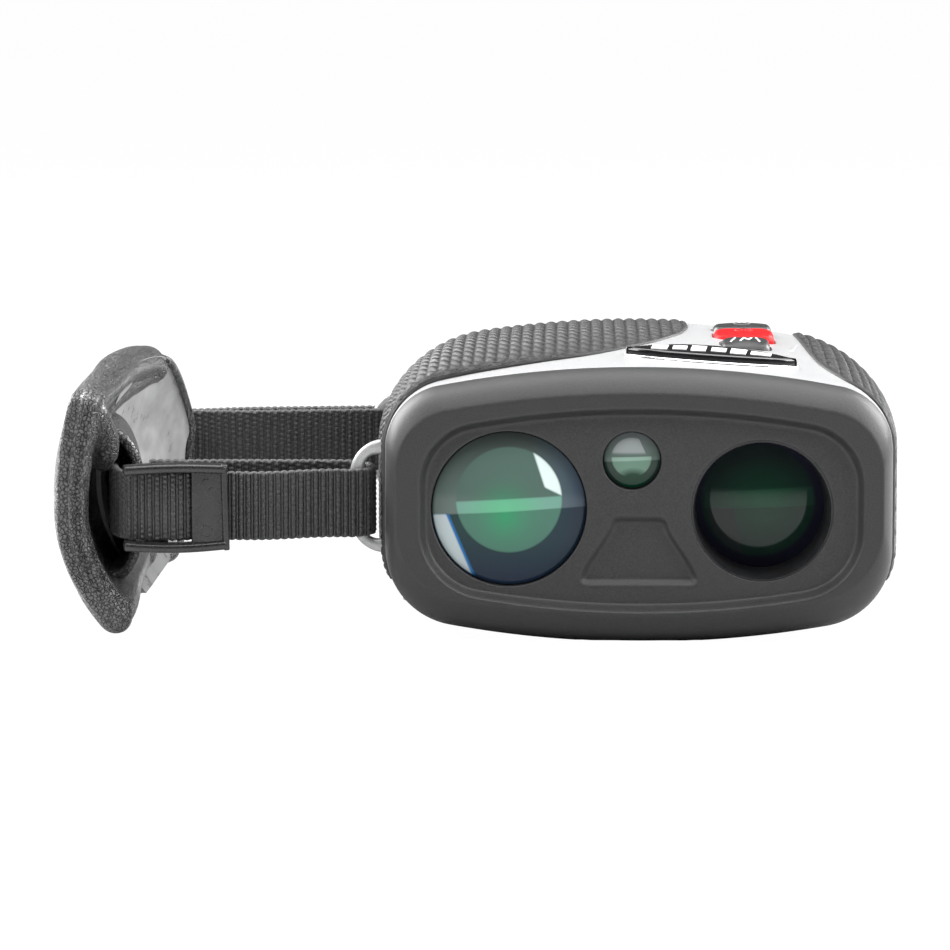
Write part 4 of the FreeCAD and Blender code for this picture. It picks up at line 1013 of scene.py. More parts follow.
BADGE_LEFT, BADGE_RIGHT = corner_mm("badge_trim", 0, "x"), corner_mm("badge_trim", 1, "x")
BADGE_NEAR, BADGE_FAR = corner_mm("badge_trim", 0, "y") - 2.0, corner_mm("badge_trim", 1, "y") - 0.8
PLATE_INSET, PLATE_LIFT = 0.66, 1.29
BARS = [(0.16, 0.25), (0.28, 0.36), (0.385, 0.47), (0.5, 0.585), (0.61, 0.7), (0.725, 0.84)]
KEY_RISE, KEY_SHOULDER, KEY_CROWN = 0.75, 0.9, 0.3


def roof(x, y):
    """Level of the housing's top surface."""
    return top_at(y) - CROWN + np.sqrt(CROWN**2 - np.asarray(x) ** 2)


def badge_edge(u, side):
    """A point of the badge's outline: u from 0 at the left tip to 1 at the right."""
    middle = (BADGE_NEAR + BADGE_FAR) / 2
    reach = (BADGE_FAR - BADGE_NEAR) / 2
    x = BADGE_LEFT + (BADGE_RIGHT - BADGE_LEFT) * u
    return np.array([x, middle + side * reach * (4 * u * (1 - u)) ** 0.8])


def on_roof(points, lift):
    points = np.asarray(points)
    lift = np.broadcast_to(lift, points.shape[:1])
    return np.stack([points[:, 0], points[:, 1], roof(points[:, 0], points[:, 1]) + lift], axis=-1)


def build_badge():
    """A chrome rim round a raised gloss plate."""
    us = (1 - np.cos(np.linspace(0, math.pi, 90))) / 2
    outline = np.array([badge_edge(u, -1) for u in us] + [badge_edge(u, 1) for u in us[-2:0:-1]])
    inward = left_of(unit(np.roll(outline, -1, 0) - np.roll(outline, 1, 0)))
    section = [(0.02, -0.4), (0.02, 0.08), (0.08, 0.2), (0.2, 0.28), (0.32, 0.2), (0.38, 0.05), (0.38, -0.4)]
    loops = [on_roof(outline + inward * inset, lift) for inset, lift in section]
    trim = skin("badge_rim", loops, CHROME, True, True, 50)
    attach(trim, "housing")
    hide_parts("badge_trim")
    middle = outline.mean(axis=0)
    edge = ((0.4, -0.3), (0.4, 0.8), (0.42, 1.08), (0.5, 1.23), (PLATE_INSET, PLATE_LIFT))
    loops = [on_roof(outline + inward * inset, lift) for inset, lift in edge]
    for share in np.linspace(1, 0, 16)[1:]:
        flat = middle + (outline + inward * PLATE_INSET - middle) * max(share, 0.004)
        loops.append(on_roof(flat, PLATE_LIFT + 0.06 * (1 - share**2)))
    plate = skin("badge_plate", loops, GLOSS, True, False, 50)
    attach(plate, "housing")
    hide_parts("name_badge")


def build_badge_bars():
    """Six plain bars across the plate, where the photograph has lettering."""
    points, faces = [], []
    for i, (left, right) in enumerate(BARS):
        tall = 0.17 if i % 2 else 0.23
        for lift in (1.2, 1.42):
            for u, v in ((left, -tall), (right, -tall), (right, tall), (left, tall)):
                at = u + 0.03 * v
                place = badge_edge(at, -1) * (0.5 - v) + badge_edge(at, 1) * (0.5 + v)
                points.append(on_roof([place], lift)[0])
        faces += grid_faces(2, 4, 8 * i, True)
        faces.append(tuple(range(8 * i + 4, 8 * i + 8)))
    marks = make_piece("badge_bars", points, faces, ICON, 30)
    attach(marks, "housing")


build_badge()
build_badge_bars()


def rounded_plan(half_x, half_y, corner, per_corner=12):
    """A rounded rectangle about the origin."""
    points = []
    for sx, sy, start in ((1, 1, 0), (-1, 1, 90), (-1, -1, 180), (1, -1, 270)):
        for angle in np.linspace(math.radians(start), math.radians(start + 90), per_corner):
            x = sx * (half_x - corner) + corner * math.cos(angle)
            points.append((x, sy * (half_y - corner) + corner * math.sin(angle)))
    return np.array(points)


def build_key(name, node, body, material, tilt):
    """A key cap with its flange; tilt is how far the top drops towards the front."""
    low, high, top = key_box(node)
    low, high = np.array(low), np.array(high)
    bottom = corner_mm(node, 0, "z")
    centre, half = (low + high) / 2, (high - low) / 2
    plan = rounded_plan(half[0], half[1], min(half) * 0.62)
    shoulder = top - KEY_RISE - KEY_SHOULDER

    def level_loop(scale, level):
        return np.column_stack([centre + plan * scale, np.full(len(plan), level)])

    profile = [(FLANGE, bottom), (FLANGE, bottom + 0.8), (0.0, bottom + 0.8), (0.0, shoulder)]
    for angle in np.linspace(0, math.pi / 2, 10)[:-1]:
        rise = (KEY_RISE + 0.6) * math.sin(angle)
        profile.append((-KEY_SHOULDER * (1 - math.cos(angle)), shoulder + rise))
    loops = [level_loop(0.001, bottom)]
    loops += [level_loop(1 + grow / half, level) for grow, level in profile]
    for share in np.linspace(1, 0.02, 14):
        loops.append(level_loop((1 - KEY_SHOULDER / half) * share, top - KEY_CROWN * share**2.2))
    loops.append(level_loop(0.001, top))
    for loop in loops:
        share = (centre[1] + half[1] - loop[:, 1]) / (2 * half[1])
        loop[:, 2] -= np.where(loop[:, 2] > top - 1.2 - KEY_RISE, tilt * share, 0)
    obj = skin(name, loops, material, True, False, 45)
    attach(obj, body)
    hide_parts(node)

    def surface(x, y):
        drop = tilt * (half[1] - y) / (2 * half[1])
        share = np.max(np.abs(np.array([x, y]) / (half - KEY_SHOULDER)))
        return top - drop - KEY_CROWN * min(share, 1.2) ** 2.2

    return centre, surface


def ribbon(name, strokes, centre, surface, width, body, material):
    """Thin raised print along short strokes on a key."""
    points, faces = [], []
    for stroke in strokes:
        path = np.array(stroke, float)
        across = left_of(unit(np.gradient(path, axis=0))) * width / 2
        start = len(points)
        for p, a in zip(path, across):
            for side, lift in ((-1, -0.06), (-0.8, 0.07), (0.8, 0.07), (1, -0.06)):
                q = p + a * side
                points.append((*(centre + q), surface(*q) + lift))
        faces += grid_faces(len(path), 4, start)
    obj = make_piece(name, points, faces, material, 60)
    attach(obj, body)


def arc_stroke(radius, start, end, count, squash=1.0):
    angles = np.radians(np.linspace(start, end, count))
    return np.stack([radius * np.cos(angles), squash * radius * np.sin(angles)], axis=-1)


def chain(*corners):
    """One straight stroke between each two corners."""
    return [np.linspace(a, b, 8) for a, b in zip(corners, corners[1:])]


zigzag = [*chain((-2.4, -0.9), (-1.6, 1.0)), *chain((-0.9, -0.8), (-0.2, 0.8), (0.4, -0.2), (1.0, 0.8))]
zigzag += chain((2.3, -0.9), (1.7, 1.0))
target = [arc_stroke(1.3, 0, 360, 48, 0.85), arc_stroke(0.25, 0, 360, 12)]
switch = [arc_stroke(1.3, 125, 415, 44, 0.85), *chain((0, 0.3), (0, 1.5))]
spot, level_of = build_key("key_mode", "mode_button", "mode_key", KEY_BLACK, 1.25)
ribbon("print_mode", zigzag, spot, level_of, 0.3, "mode_key", ICON)
spot, level_of = build_key("key_measure", "measure_button", "measure_key", KEY_RED, 0.7)
ribbon("print_measure", target, spot, level_of, 0.35, "measure_key", KEY_PRINT)
spot, level_of = build_key("key_power", "power_button", "power_key", KEY_BLACK, 0.3)
ribbon("print_power", switch, spot, level_of, 0.25, "power_key", KEY_GREY)


def raised_bar():
    """A slim moulded bar beside the keys."""
    rows = []
    for t in np.linspace(0, 1, 30):
        x, y = 24.2 + 1.2 * t, -24.0 + 8.5 * t
        half = 0.42 * math.sqrt(max(0.0, 1 - (2 * t - 1) ** 8))
        across = np.linspace(-1, 1, 9)
        lift = 0.22 * np.sqrt(np.clip(1 - across**4, 0, 1)) * (half / 0.42) - 0.06
        rows.append(on_roof(np.stack([x + across * half, np.full(9, y)], axis=-1), lift))
    obj = skin("raised_mark", rows, SILVER, False, False, 60)
    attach(obj, "housing")


raised_bar()


# --- side loops -------------------------------------------------------------------------------


def d_path(left, low, high, radius, root, count=12):
    """Open rounded path: along the top to the left, down, and back along the bottom."""

    def corner(start, level):
        turns = np.radians(np.linspace(start, start + 90, 2 * count))
        return np.column_stack([left + radius + radius * np.cos(turns), level + radius * np.sin(turns)])

    return np.concatenate(
        [
            np.linspace((root, high), (left + radius, high), count),
            corner(90, high - radius),
            np.linspace((left, high - radius), (left, low + radius), count),
            corner(180, low + radius),
            np.linspace((left + radius, low), (root, low), count),
        ]
    )


def build_side_loop(name, node):
    """A D-shaped loop of squared wire that fills the node's box."""
    left, low, high = corner_mm(node, 0, "x"), corner_mm(node, 0, "z"), corner_mm(node, 1, "z")
    y = (corner_mm(node, 0, "y") + corner_mm(node, 1, "y")) / 2
    root = corner_mm(node, 1, "x") - 0.2
    outer = d_path(left, low, high, 5.6, root)
    inner = d_path(left + 2.3, low + 2.2, high - 2.4, 2.0, root)
    across, deep = squared_circle(20, 0.62)
    loops = []
    for o, i in zip(outer, inner):
        centre, reach = (o + i) / 2, (o - i) / 2
        x, z = centre[0] + reach[0] * across, centre[1] + reach[1] * across
        loops.append(np.column_stack([x, y + deep, z]))
    obj = skin(name, loops, SILVER, True, False, 60)
    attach(obj, "housing")
    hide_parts(node)


build_side_loop("side_loop_front", "front_strap_lug")
build_side_loop("side_loop_rear", "rear_strap_lug")


# --- tape -------------------------------------------------------------------------------------

RIB = 1.17
CELL = 0.8
TAPE_STEP, TAPE_COUNT = 0.13, 72


def resample(path, step):
    """Evenly spaced points along a path, and their distances from its start."""
    path = np.asarray(path, float)
    lengths = np.concatenate([[0], np.cumsum(np.linalg.norm(np.diff(path, axis=0), axis=1))])
    s = np.arange(0, lengths[-1], step)
    return np.stack([np.interp(s, lengths, path[:, i]) for i in range(path.shape[1])], axis=-1), s


def rib_height(s, w):
    """Woven ribs across the tape: a column of rounded blocks and a thin bead column."""
    number = math.floor(s / RIB)
    u = s / RIB - number

    def swell(middle, half):
        return math.sqrt(max(0.0, 1 - ((u - middle) / half) ** 2))

    uneven = 0.06 * math.sin(7.1 * number) + 0.05 * math.sin(2.3 * number + 1)
    cells = 0.52 + 0.48 * np.abs(np.sin(math.pi * (w / CELL + 0.37 * number)))
    beads = 0.5 + 0.5 * np.abs(np.sin(math.pi * (w / (CELL * 0.52) + 0.21 * number)))
    return 0.36 * (1 + uneven) * swell(0.34, 0.33) * cells + 0.26 * swell(0.84, 0.15) * beads


def tape(name, path, low, width, thick):
    """Woven tape along plan points (x, y, level shift), closed at both ends."""
    points, s = resample(path, TAPE_STEP)
    normal = left_of(unit(np.gradient(points[:, :2], axis=0)))
    share = np.linspace(0, 1, TAPE_COUNT)
    loops = []
    for p, n, at in zip(points, normal, s):
        scallop = 0.16 * abs(math.sin(math.pi * at / RIB))
        w = -scallop + share * (width + 2 * scallop)
        edge = np.minimum(w + scallop, width + scallop - w)
        soft = np.sqrt(np.clip(1 - (1 - np.clip(edge / 0.45, 0, 1)) ** 2, 0, 1))
        front = soft * (thick * 0.32 + rib_height(at, w))
        back = soft * (thick * 0.32 + rib_height(at + 0.5 * RIB, w))
        z = low + p[2] + w
        near = np.stack([p[0] + n[0] * front, p[1] + n[1] * front, z], axis=-1)
        far = np.stack([p[0] - n[0] * back, p[1] - n[1] * back, z], axis=-1)[::-1]
        loops.append(np.concatenate([near, far]))
    columns = 2 * TAPE_COUNT
    faces = grid_faces(len(loops), columns, 0, True, False)
    for start in (0, (len(loops) - 1) * columns):
        for i in range(TAPE_COUNT - 1):
            faces.append((start + i, start + i + 1, start + columns - 2 - i, start + columns - 1 - i))
    return make_piece(name, np.concatenate(loops), faces, WEBBING, 70)


PIVOT_A = np.array([-43.6, -38.0])
PIVOT_D = np.array([-43.6, 38.0])
LINK = np.array([-34.4, -5.0])
ALONG = LINK / np.linalg.norm(LINK)
ASIDE = np.array([-ALONG[1], ALONG[0]])
LENGTH = float(np.linalg.norm(LINK))
BEND = 2.25


def bump_between(u, low, high):
    t = np.clip((u - low) / (high - low), 0, 1)
    return np.sin(math.pi * t) ** 2


def link_point(pivot, u, v, shift=0.0):
    """A point u along the link from its pivot and v to its outer side."""
    return (*(pivot + ALONG * u + ASIDE * v), shift)


def wrap(pivot, first_shift, last_shift):
    """Half turn round the loop's bar, from the far side to the near side."""
    out = []
    for share in np.linspace(0, 1, 40):
        turn = math.radians(-90 - 180 * share)
        shift = first_shift + (last_shift - first_shift) * share
        out.append(link_point(pivot, BEND * math.cos(turn), BEND * math.sin(turn), shift))
    return out


REAR_TAB = [(-79.9, 24.6), (-79.4, 27.0), (-78.7, 30.0), (-78.1, 32.2), (-76.6, 32.6)]
PAD_PATH = [(-79.2, -43.6), (-81.3, -39.5), (-82.4, -32.0), (-83.2, -22.0), (-84.2, -15.0)]
TAPE_WIDTH, TAPE_THICK = 10.5, 1.3


def build_front_tape():
    """Doubled tape round the front loop, through the buckle and into the pad."""
    path = []
    for u in np.linspace(LENGTH - 2.4, 1.0, 60):
        sag = 0.25 * math.sin(math.pi * u / LENGTH)
        path.append(link_point(PIVOT_A, u, -BEND - sag, 1.0 + 0.5 * u / LENGTH))
    path += wrap(PIVOT_A, 1.0, 0.0)
    for u in np.linspace(1.0, LENGTH - 3.5, 80):
        out = 1.0 * bump_between(u, 19, 38) + 0.2 * math.sin(math.pi * u / 20) ** 2
        path.append(link_point(PIVOT_A, u, BEND + out * 0.8, 0.15 * math.sin(0.3 * u)))
    curve = [np.array(path[-1][:2]), *map(np.array, PAD_PATH)]
    for a, b in zip(curve, curve[1:]):
        path += [(*(a + (b - a) * t), 0.0) for t in np.linspace(0, 1, 12)[1:]]
    obj = tape("front_tape", relaxed(path, 30), corner_mm("front_webbing", 0, "z"), TAPE_WIDTH, TAPE_THICK)
    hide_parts("front_webbing", "pad_webbing")
    link_end, pad_start = Vector((-0.0740, -0.0435, 0.0205)), Vector((-0.0810, -0.0360, 0.0205))
    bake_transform(obj)
    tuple(link_end)
    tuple(pad_start)


def build_rear_tape():
    """Doubled tape round the rear loop, and the short tab at the pad's rear end."""
    low = corner_mm("rear_webbing", 0, "z")

    def spread_at(u):
        """Half the distance between the two layers; they come together before the pad."""
        closing = ease(np.clip((u - LENGTH + 13) / 11, 0, 1))
        return (BEND + 0.3 * math.sin(math.pi * u / LENGTH)) * (1 - 0.62 * closing)

    path = [link_point(PIVOT_D, u, spread_at(u)) for u in np.linspace(LENGTH - 0.6, 1.0, 70)]
    path += wrap(PIVOT_D, 0, 0)[::-1]
    path += [link_point(PIVOT_D, u, -spread_at(u)) for u in np.linspace(1.0, LENGTH - 0.6, 70)]
    obj = tape("rear_tape", path, low, TAPE_WIDTH, TAPE_THICK)
    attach(obj, "rear_strap")
    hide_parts("rear_webbing")
    tab = tape("rear_tab", [(*place, 0.0) for place in REAR_TAB], low + 0.3, TAPE_WIDTH - 0.6, 1.0)
    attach(tab, "hand_pad")


build_front_tape()
build_rear_tape()


# --- buckle -----------------------------------------------------------------------------------


def bar_loops(stations):
    """Loops of a rounded bar; each station is centre (3), half size along two axes (3 each)."""
    a, b = squared_circle(28, 0.5)
    return [centre + np.outer(a, first) + np.outer(b, second) for centre, first, second in stations]


def cap(loop, inner_loop):
    """Shrinking loops past the end of a chain, from its last loop outwards."""
    centre = loop.mean(axis=0)
    step = centre - inner_loop.mean(axis=0)
    step *= 0.35 / np.linalg.norm(step)
    out = []
    for t in (0.25, 0.5, 0.75, 1.0):
        out.append(centre + (loop - centre) * max(math.sqrt(1 - t * t), 0.01) + step * t)
    return out


def capped(loops):
    """Closes a chain of loops with shrinking loops at both ends."""
    return [*cap(loops[0], loops[1])[::-1], *loops, *cap(loops[-1], loops[-2])]


def join_pieces(name, pieces, material):
    """Several closed skins as one mesh."""
    points, faces = [], []
    for loops in pieces:
        start = sum(len(p) for p in points)
        faces += grid_faces(len(loops), len(loops[0]), start, True, False)
        points.append(np.concatenate(loops))
    return make_piece(name, np.concatenate(points), faces, material, 45)


def build_buckle():
    """A curved slider: two side rails, three bars and a lip across, and two rings on the front bar."""
    low, high = corner_mm("strap_buckle", 0, "z"), corner_mm("strap_buckle", 1, "z")
    near, far = 20.6, 37.0
    along, aside, up = np.array([*ALONG, 0]), np.array([*ASIDE, 0]), np.array([0, 0, 1.0])

    def bow(u):
        return 3.2 + 0.9 * math.sin(math.pi * np.clip((u - near + 1) / (far - near + 3), 0, 1))

    def at(u, out, z):
        return np.array([*PIVOT_A, 0]) + along * u + aside * out + up * z

    pieces = []
    for level, side in ((low + 0.75, -1), (high - 0.75, 1)):
        stations = []
        for u in np.linspace(near + 0.5, far - 0.5, 34):
            flare = 0.35 * math.sin(math.pi * (u - near) / (far - near))
            stations.append((at(u, bow(u), level + side * (flare - 0.35)), aside * 1.9, up * 0.75))
        pieces.append(stations)
    for u, half, thick, rise in ((near + 2.9, 2.8, 0.75, 0.25), (far - 4.4, 1.0, 0.5, -3.4)):
        levels = np.linspace(low + 0.7, high - 0.7, 16)
        pieces.append([(at(u, bow(u) + rise, z), along * half, aside * thick) for z in levels])
    stations = []
    for z in np.linspace(low + 0.5, high - 0.5, 24):
        lean = 0.35 * (z - low) / (high - low)
        stations.append((at(near + 0.35 + lean, bow(near) + 0.45, z), along * 0.55, aside * 1.45))
    pieces.append(stations)
    levels = np.linspace(low + 1, high - 1, 8)
    pieces.append([(at(near + 10.2, 0.9, z), along * 1.1, aside * 0.5) for z in levels])
    pieces = [capped(bar_loops(stations)) for stations in pieces]
    turns = full_turn(10)
    for z in (low + 3.4, high - 3.4):
        centre = at(near + 3.4, bow(near + 2.9) + 0.97, z)
        loops = []
        for turn in np.linspace(0, 2 * math.pi, 40):
            out = along * math.cos(turn) + up * math.sin(turn)
            wire = np.outer(0.85 + 0.09 * np.cos(turns), out) + np.outer(0.09 * np.sin(turns), aside)
            loops.append(centre + wire)
        pieces.append(loops)
    obj = join_pieces("slider", pieces, POLYMER)
    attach(obj, "buckle")
    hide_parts("strap_buckle")


build_buckle()


# --- hand pad ---------------------------------------------------------------------------------

PAD_Y = [-46.0, -33.0, -20.0, -5.0, 9.0, 15.5, 22.0, 27.5]
PAD_X = [-90.0, -91.8, -92.4, -91.2, -88.2, -85.8, -83.0, -80.2]
PAD_LOW = [0.4, 0.5, 0.9, 1.5, 3.0, 5.2, 9.4, 14.6]
PAD_HIGH = [38.2, 39.3, 40.3, 40.9, 40.2, 36.6, 31.0, 25.0]
LEAN_LOW = [9.0, 9.0, 9.0, 8.4, 6.6, 5.2, 3.4, 1.4]
LEAN_HIGH = [2.4, 5.2, 7.0, 7.0, 5.8, 5.0, 3.4, 1.4]
PAD_THICK, PAD_TAPER = 5.4, 0.9


def pad_at(values, y):
    """One measure of the pad at a station."""
    return float(smooth_curve(list(zip(PAD_Y, values)), [np.clip(y, PAD_Y[0], PAD_Y[-1])])[0])


def outer_x(y, z):
    """The pad's outer face: bowed in height, leaning in at its bottom and top."""
    low, high = pad_at(PAD_LOW, y), pad_at(PAD_HIGH, y)
    middle, half = (low + high) / 2, (high - low) / 2
    t = (np.asarray(z) - middle) / half
    lean = np.where(t > 0, pad_at(LEAN_HIGH, y), pad_at(LEAN_LOW, y))
    return pad_at(PAD_X, y) + lean * np.abs(t) ** 2.1


def pad_section(y, depth, inset, thick_scale=1.0):
    """Closed loop round the pad at one station: an even thickness about a bowed line, with round ends."""
    radius = depth / 2 * thick_scale
    low, high = pad_at(PAD_LOW, y) + inset + radius, pad_at(PAD_HIGH, y) - inset - radius
    z = np.linspace(high, low, 96)
    x = outer_x(y, z) + depth / 2
    slope_x, slope_z = np.gradient(x), np.gradient(z)
    length = np.hypot(slope_x, slope_z)
    normal_x, normal_z = slope_z / length, -slope_x / length
    outer = np.stack([x + radius * normal_x, z + radius * normal_z], axis=-1)
    inner = np.stack([x - radius * normal_x, z - radius * normal_z], axis=-1)[::-1]
    ends = []
    for i, way in ((-1, 1), (0, -1)):
        turn = math.atan2(normal_z[i], normal_x[i]) + (0 if way > 0 else math.pi)
        angles = turn + np.linspace(0, math.pi, 18)[1:-1]
        ends.append(np.stack([x[i] + radius * np.cos(angles), z[i] + radius * np.sin(angles)], axis=-1))
    loop = np.concatenate([outer, ends[0], inner, ends[1]])
    return at_station(loop[:, 0], y, loop[:, 1])


def tube_loops(path, radii):
    """Loops of a round tube along a path."""
    path = np.asarray(path, float)
    tangent = unit(np.gradient(path, axis=0))
    side = unit(np.cross(tangent, np.array([0.3, 0.2, 1.0])))
    other = np.cross(tangent, side)
    angles = full_turn(16)
    return [
        p + r * (np.outer(np.cos(angles), a) + np.outer(np.sin(angles), b))
        for p, r, a, b in zip(path, np.broadcast_to(radii, len(path)), side, other)
    ]


def inner_point(y, z, depth):
    """A point at a depth behind the pad's outer face."""
    return (float(outer_x(y, z)) + depth, y, z)


def remesh(obj, voxel, rounds):
    """One closed skin over everything in the mesh, evenly meshed and softened."""
    modifier = obj.modifiers.new("remesh", "REMESH")
    modifier.mode = "VOXEL"
    modifier.voxel_size = voxel * MM
    softener = obj.modifiers.new("soften", "SMOOTH")
    softener.iterations = rounds
    softener.factor = 0.5
    apply_modifiers(obj)
    shade_smooth(obj.data)


def value_noise(points, scale, seed):
    """Smooth noise from a few turned sine waves, fixed by its seed."""
    rng = np.random.default_rng(seed)
    out = np.zeros(len(points))
    for octave in range(4):
        for _ in range(5):
            direction = rng.normal(size=3)
            direction /= np.linalg.norm(direction)
            out += np.sin(points @ direction * scale * 2**octave + rng.uniform(0, 6.28)) / 1.7**octave
    return out / 8


def displace(obj, amount):
    """Moves every vertex along its normal by amount(points) millimetres."""
    mesh = obj.data
    points = np.empty(len(mesh.vertices) * 3)
    mesh.vertices.foreach_get("co", points)
    normals = np.empty(len(mesh.vertices) * 3)
    mesh.vertices.foreach_get("normal", normals)
    points, normals = points.reshape(-1, 3), normals.reshape(-1, 3)
    points += normals * (amount(points / MM) * MM)[:, None]
    points[:, 2] = np.maximum(points[:, 2], 0.0001)
    mesh.vertices.foreach_set("co", points.ravel())
    mesh.update()


def pad_core():
    """Loops of the pad's cushion, rounded off at both ends along Y."""
    loops = []
    for angle in np.linspace(0, math.pi / 2, 9)[1:]:
        grow = math.sin(angle)
        y = PAD_Y[0] + 2.6 * (1 - math.cos(angle))
        loops.append(pad_section(y, PAD_THICK, 2.4 * (1 - grow), 0.08 + 0.92 * grow))
    for y in np.linspace(PAD_Y[0] + 3.4, PAD_Y[-1] - 2.2, 70):
        loops.append(pad_section(y, PAD_THICK - PAD_TAPER * (y - PAD_Y[0]) / 76, 0.0))
    for angle in np.linspace(0, math.pi / 2, 9)[1:]:
        grow = math.cos(angle)
        y = PAD_Y[-1] - 2.0 * (1 - math.sin(angle))
        loops.append(pad_section(y, PAD_THICK - PAD_TAPER, 2.2 * (1 - grow), max(0.06, grow)))
    return loops


def wave(turns, count=40):
    return np.sin(np.linspace(0, turns, count))


def pad_rolls():
    """Rolls on the inner side: (y, z, depth) points and radii."""
    top = [(y, pad_at(PAD_HIGH, y) - 2.2, 3.0) for y in np.linspace(-42, 13, 40)]
    yield top, 2.5 + 0.5 * wave(3.1)
    flap_z = np.linspace(36.2, 28.0, 40) + 0.6 * wave(5)
    yield list(zip(np.linspace(12, -37, 40), flap_z, np.linspace(3.6, 5.2, 40))), 1.9 + 0.25 * wave(9)
    fold = [(-42, 35, 4.6), (-40, 32.5, 5.8), (-38, 30.0, 7.0), (-37, 27.6, 7.6), (-36, 25.5, 7.2)]
    yield fold, [1.6, 2.2, 2.4, 2.0, 1.2]
    foot = [(-44.2, 3.9, 2.9), (-40.5, 4.0, 3.6), (-34.0, 4.5, 4.6), (-26.0, 5.0, 5.2)]
    foot += [(-14.0, 5.6, 5.0), (0.0, 6.8, 4.6)]
    yield foot, [2.9, 3.2, 3.3, 3.0, 2.7, 2.0]


def build_pad():
    """The padded body: cushion and rolls as one skin, with ridges and creases."""
    pieces = [capped(pad_core())]
    for route, radii in pad_rolls():
        pieces.append(capped(tube_loops([inner_point(*place) for place in route], radii)))
    obj = join_pieces("pad_body", pieces, LEATHER)
    remesh(obj, 0.42, 9)
    measures = (PAD_LOW, PAD_HIGH, PAD_X, LEAN_LOW, LEAN_HIGH)
    table = {y: [pad_at(values, y) for values in measures] for y in range(-50, 35)}

    def outer_face(y, z):
        """The outer face again, from a table of whole millimetres."""
        low, high, x, lean_low, lean_high = table[int(np.clip(round(y), -49, 33))]
        t = (z - (low + high) / 2) / ((high - low) / 2)
        return x + (lean_high if t > 0 else lean_low) * abs(t) ** 2.1

    def relief(points):
        """Ridges along the front edge and soft creases everywhere."""
        depth = points[:, 0] - np.array([outer_face(y, z) for y, z in points[:, 1:]])
        near = np.clip(1 - (points[:, 1] - PAD_Y[0]) / 4.5, 0, 1)
        fade = np.clip((points[:, 2] - 2.5) / 7, 0, 1)
        ridges = 0.42 * np.sin(2 * math.pi * depth / 1.85) * np.sqrt(near) * fade
        creases = 0.16 * value_noise(points, 0.3, 5) + 0.05 * value_noise(points, 1.6, 6)
        return ridges * (depth > -0.5) + creases

    displace(obj, relief)
    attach(obj, "hand_pad")
    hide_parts("pad_cover", "pad_foam", "pad_binding")


def build_lining():
    """The smooth inner face of the far half."""
    rows = []
    for y in np.linspace(-13, 26.2, 60):
        low, high = pad_at(PAD_LOW, y) + 1.3, pad_at(PAD_HIGH, y) - 1.3
        z = np.linspace(low, high, 60)
        t = (z - (low + high) / 2) / ((high - low) / 2)
        billow = 0.5 * (1 - t**4) * min(1.0, (26.7 - y) / 3)
        x = outer_x(y, z) + PAD_THICK - PAD_TAPER * (y - PAD_Y[0]) / 74 + 0.25 + billow
        rows.append(at_station(x, y, z))
    back = [row - (1.2, 0, 0) for row in rows[::-1]]
    obj = skin("pad_face", [*rows, *back], PAINTED_SHEEN_LINING, False, True, 60)
    displace(obj, lambda points: 0.10 * value_noise(points, 0.3, 8))
    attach(obj, "hand_pad")
    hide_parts("pad_lining")


def build_piping():
    """The rolled edge of the lining: along its top, down its rear end and back along its bottom."""
    depth, end = PAD_THICK - PAD_TAPER, 27.1

    def edge(y, level, side):
        inward = max(0.0, 13 - y)
        return inner_point(y, pad_at(level, y) - side * (0.7 + 0.25 * inward), depth - 0.3 * inward)

    path = [edge(y, PAD_HIGH, 1) for y in np.linspace(6, end, 40)]
    for share in np.linspace(0, 1, 16)[1:-1]:
        z = (pad_at(PAD_HIGH, end) - 0.7) * (1 - share) + (pad_at(PAD_LOW, end) + 0.7) * share
        path.append(inner_point(end + 0.5 * math.sin(math.pi * share), z, depth))
    path += [edge(y, PAD_LOW, -1) for y in np.linspace(end, 6, 40)]
    piping = join_pieces("pad_piping", [capped(tube_loops(relaxed(path, 6), 0.75))], LEATHER)
    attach(piping, "hand_pad")


SLEEVE = [(-33.0, -77.0), (-24.0, -78.3), (-12.0, -79.4)]


def build_sleeve():
    """The tunnel of leather that holds the tape against the pad, with a rolled mouth."""
    loops = []
    for y in np.linspace(-33, -8.6, 44):
        wall = float(smooth_curve(SLEEVE, [min(y, -12.0)])[0])
        closing = math.sqrt(max(0.0, 1 - max(0.0, (y + 15.6) / 7) ** 2))
        high = min(31.6, pad_at(PAD_HIGH, y) - 2.0)
        low = max(7.4, pad_at(PAD_LOW, y) + 2.0)
        middle, half = (low + high) / 2, (high - low) / 2
        angles = np.linspace(0, math.pi, 44)
        sides = []
        for thick in (0.0, 1.2):
            z = middle + (half - thick) * np.cos(angles)
            root = outer_x(y, z) + PAD_THICK - 0.6
            swell_out = closing * np.sin(angles) ** 0.6
            sides.append(at_station(root + (wall - thick - root) * swell_out, y, z))
        loops.append(np.concatenate([sides[0], sides[1][::-1]]))
    mouth = (loops[0][:44] + loops[0][:43:-1]) / 2
    obj = join_pieces("pad_tunnel", [loops, capped(tube_loops(mouth, 0.85))], LEATHER)
    displace(obj, lambda points: 0.12 * value_noise(points, 0.5, 3))
    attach(obj, "hand_pad")
    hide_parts("pad_sleeve")


build_pad()
build_lining()
build_piping()
build_sleeve()


# --- camera, light and floor ------------------------------------------------------------------


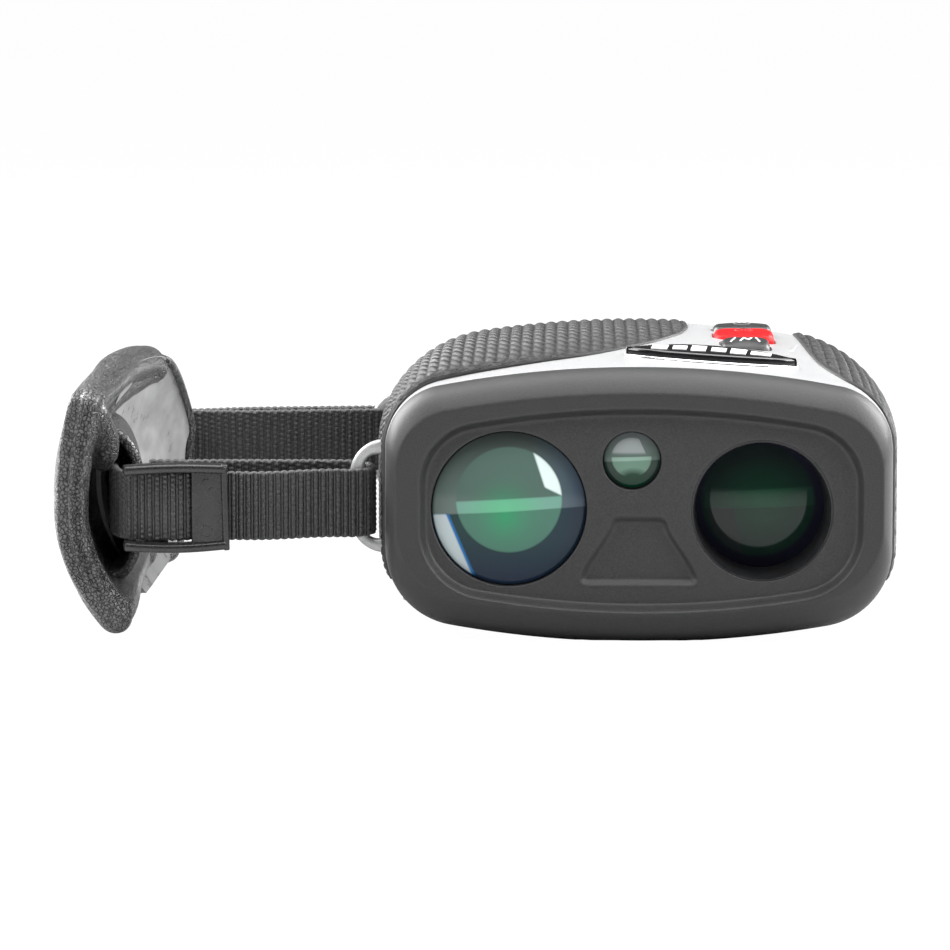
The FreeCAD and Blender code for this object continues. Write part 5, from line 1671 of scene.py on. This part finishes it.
LIGHTS = {
    "left_box": ((-0.62, -0.30, 0.40), (-0.04, -0.02, 0.02), (0.4, 0.5), 4.2),
    "left_rim": ((-0.62, 0.42, 0.42), (-0.06, -0.02, 0.02), (0.5, 0.6), 15),
    "right_rim": ((0.62, 0.42, 0.40), (0.03, -0.02, 0.02), (0.4, 0.5), 11),
    "right_box": ((0.65, -0.20, 0.40), (0.02, -0.02, 0.02), (0.45, 0.5), 6),
    "top_box": ((0.0, 0.15, 0.75), (0.0, 0.0, 0.03), (0.9, 0.5), 7.5),
    "brow_light": ((0.05, -0.22, 0.42), (0.0, -0.03, 0.03), (0.5, 0.16), 1.7),
}
FLOOR_GLOW, FLOOR_SEEN, ROOM_GLOW = 1.06, 0.93, 0.07


def add_light(name, place, aim, size, power):
    light = bpy.data.lights.new(name, "AREA")
    light.shape = "RECTANGLE"
    light.size, light.size_y = size
    light.energy = power
    obj = linked(name, light)
    obj.location = place
    obj.rotation_euler = (Vector(aim) - Vector(place)).to_track_quat("-Z", "Y").to_euler()


def build_camera():
    """The photograph's viewpoint."""
    camera = bpy.data.cameras.new("camera")
    camera.lens, camera.sensor_width = 177.5, 36.0
    camera.clip_start, camera.clip_end = 0.01, 50
    eye = linked("camera", camera)
    eye.location = (-0.0100, -0.7620, 0.1106)
    eye.rotation_euler = (math.radians(90 - 6.76), 0, math.radians(1.22))
    bpy.context.scene.camera = eye


def build_floor():
    """A pale floor that the camera sees as almost white."""
    work = bmesh.new()
    bmesh.ops.create_grid(work, x_segments=1, y_segments=1, size=15)
    mesh = mesh_from(work, "floor")
    paint = Paint("floor", 0.9, colour=(0.55, 0.55, 0.55))
    emit = paint.node("ShaderNodeEmission", {"Color": (1, 1, 1, 1), "Strength": FLOOR_GLOW})
    seen = paint.node("ShaderNodeLightPath").outputs["Is Camera Ray"]
    share = paint.math("MULTIPLY", seen, FLOOR_SEEN)
    mix = paint.node("ShaderNodeMixShader", {0: share, 1: paint.shader.outputs[0], 2: emit.outputs[0]})
    paint.link(mix.outputs[0], paint.tree.nodes["Material Output"].inputs["Surface"])
    mesh.materials.append(paint.material)
    linked("floor", mesh)


def build_room():
    """White where the camera looks, and faint as a light."""
    world = bpy.data.worlds.new("studio")
    bpy.context.scene.world = world
    world.use_nodes = True
    tree = world.node_tree
    background = tree.nodes["Background"]
    background.inputs[0].default_value = (1, 1, 1, 1)
    seen = tree.nodes.new("ShaderNodeLightPath").outputs["Is Camera Ray"]
    strength = tree.nodes.new("ShaderNodeMapRange")
    strength.inputs["To Min"].default_value = ROOM_GLOW
    strength.inputs["To Max"].default_value = 1.0
    tree.links.new(seen, strength.inputs["Value"])
    tree.links.new(strength.outputs[0], background.inputs[1])


build_camera()
build_floor()
build_room()
for light_name, light_settings in LIGHTS.items():
    add_light(light_name, *light_settings)
bpy.context.scene.view_settings.view_transform = "Standard"
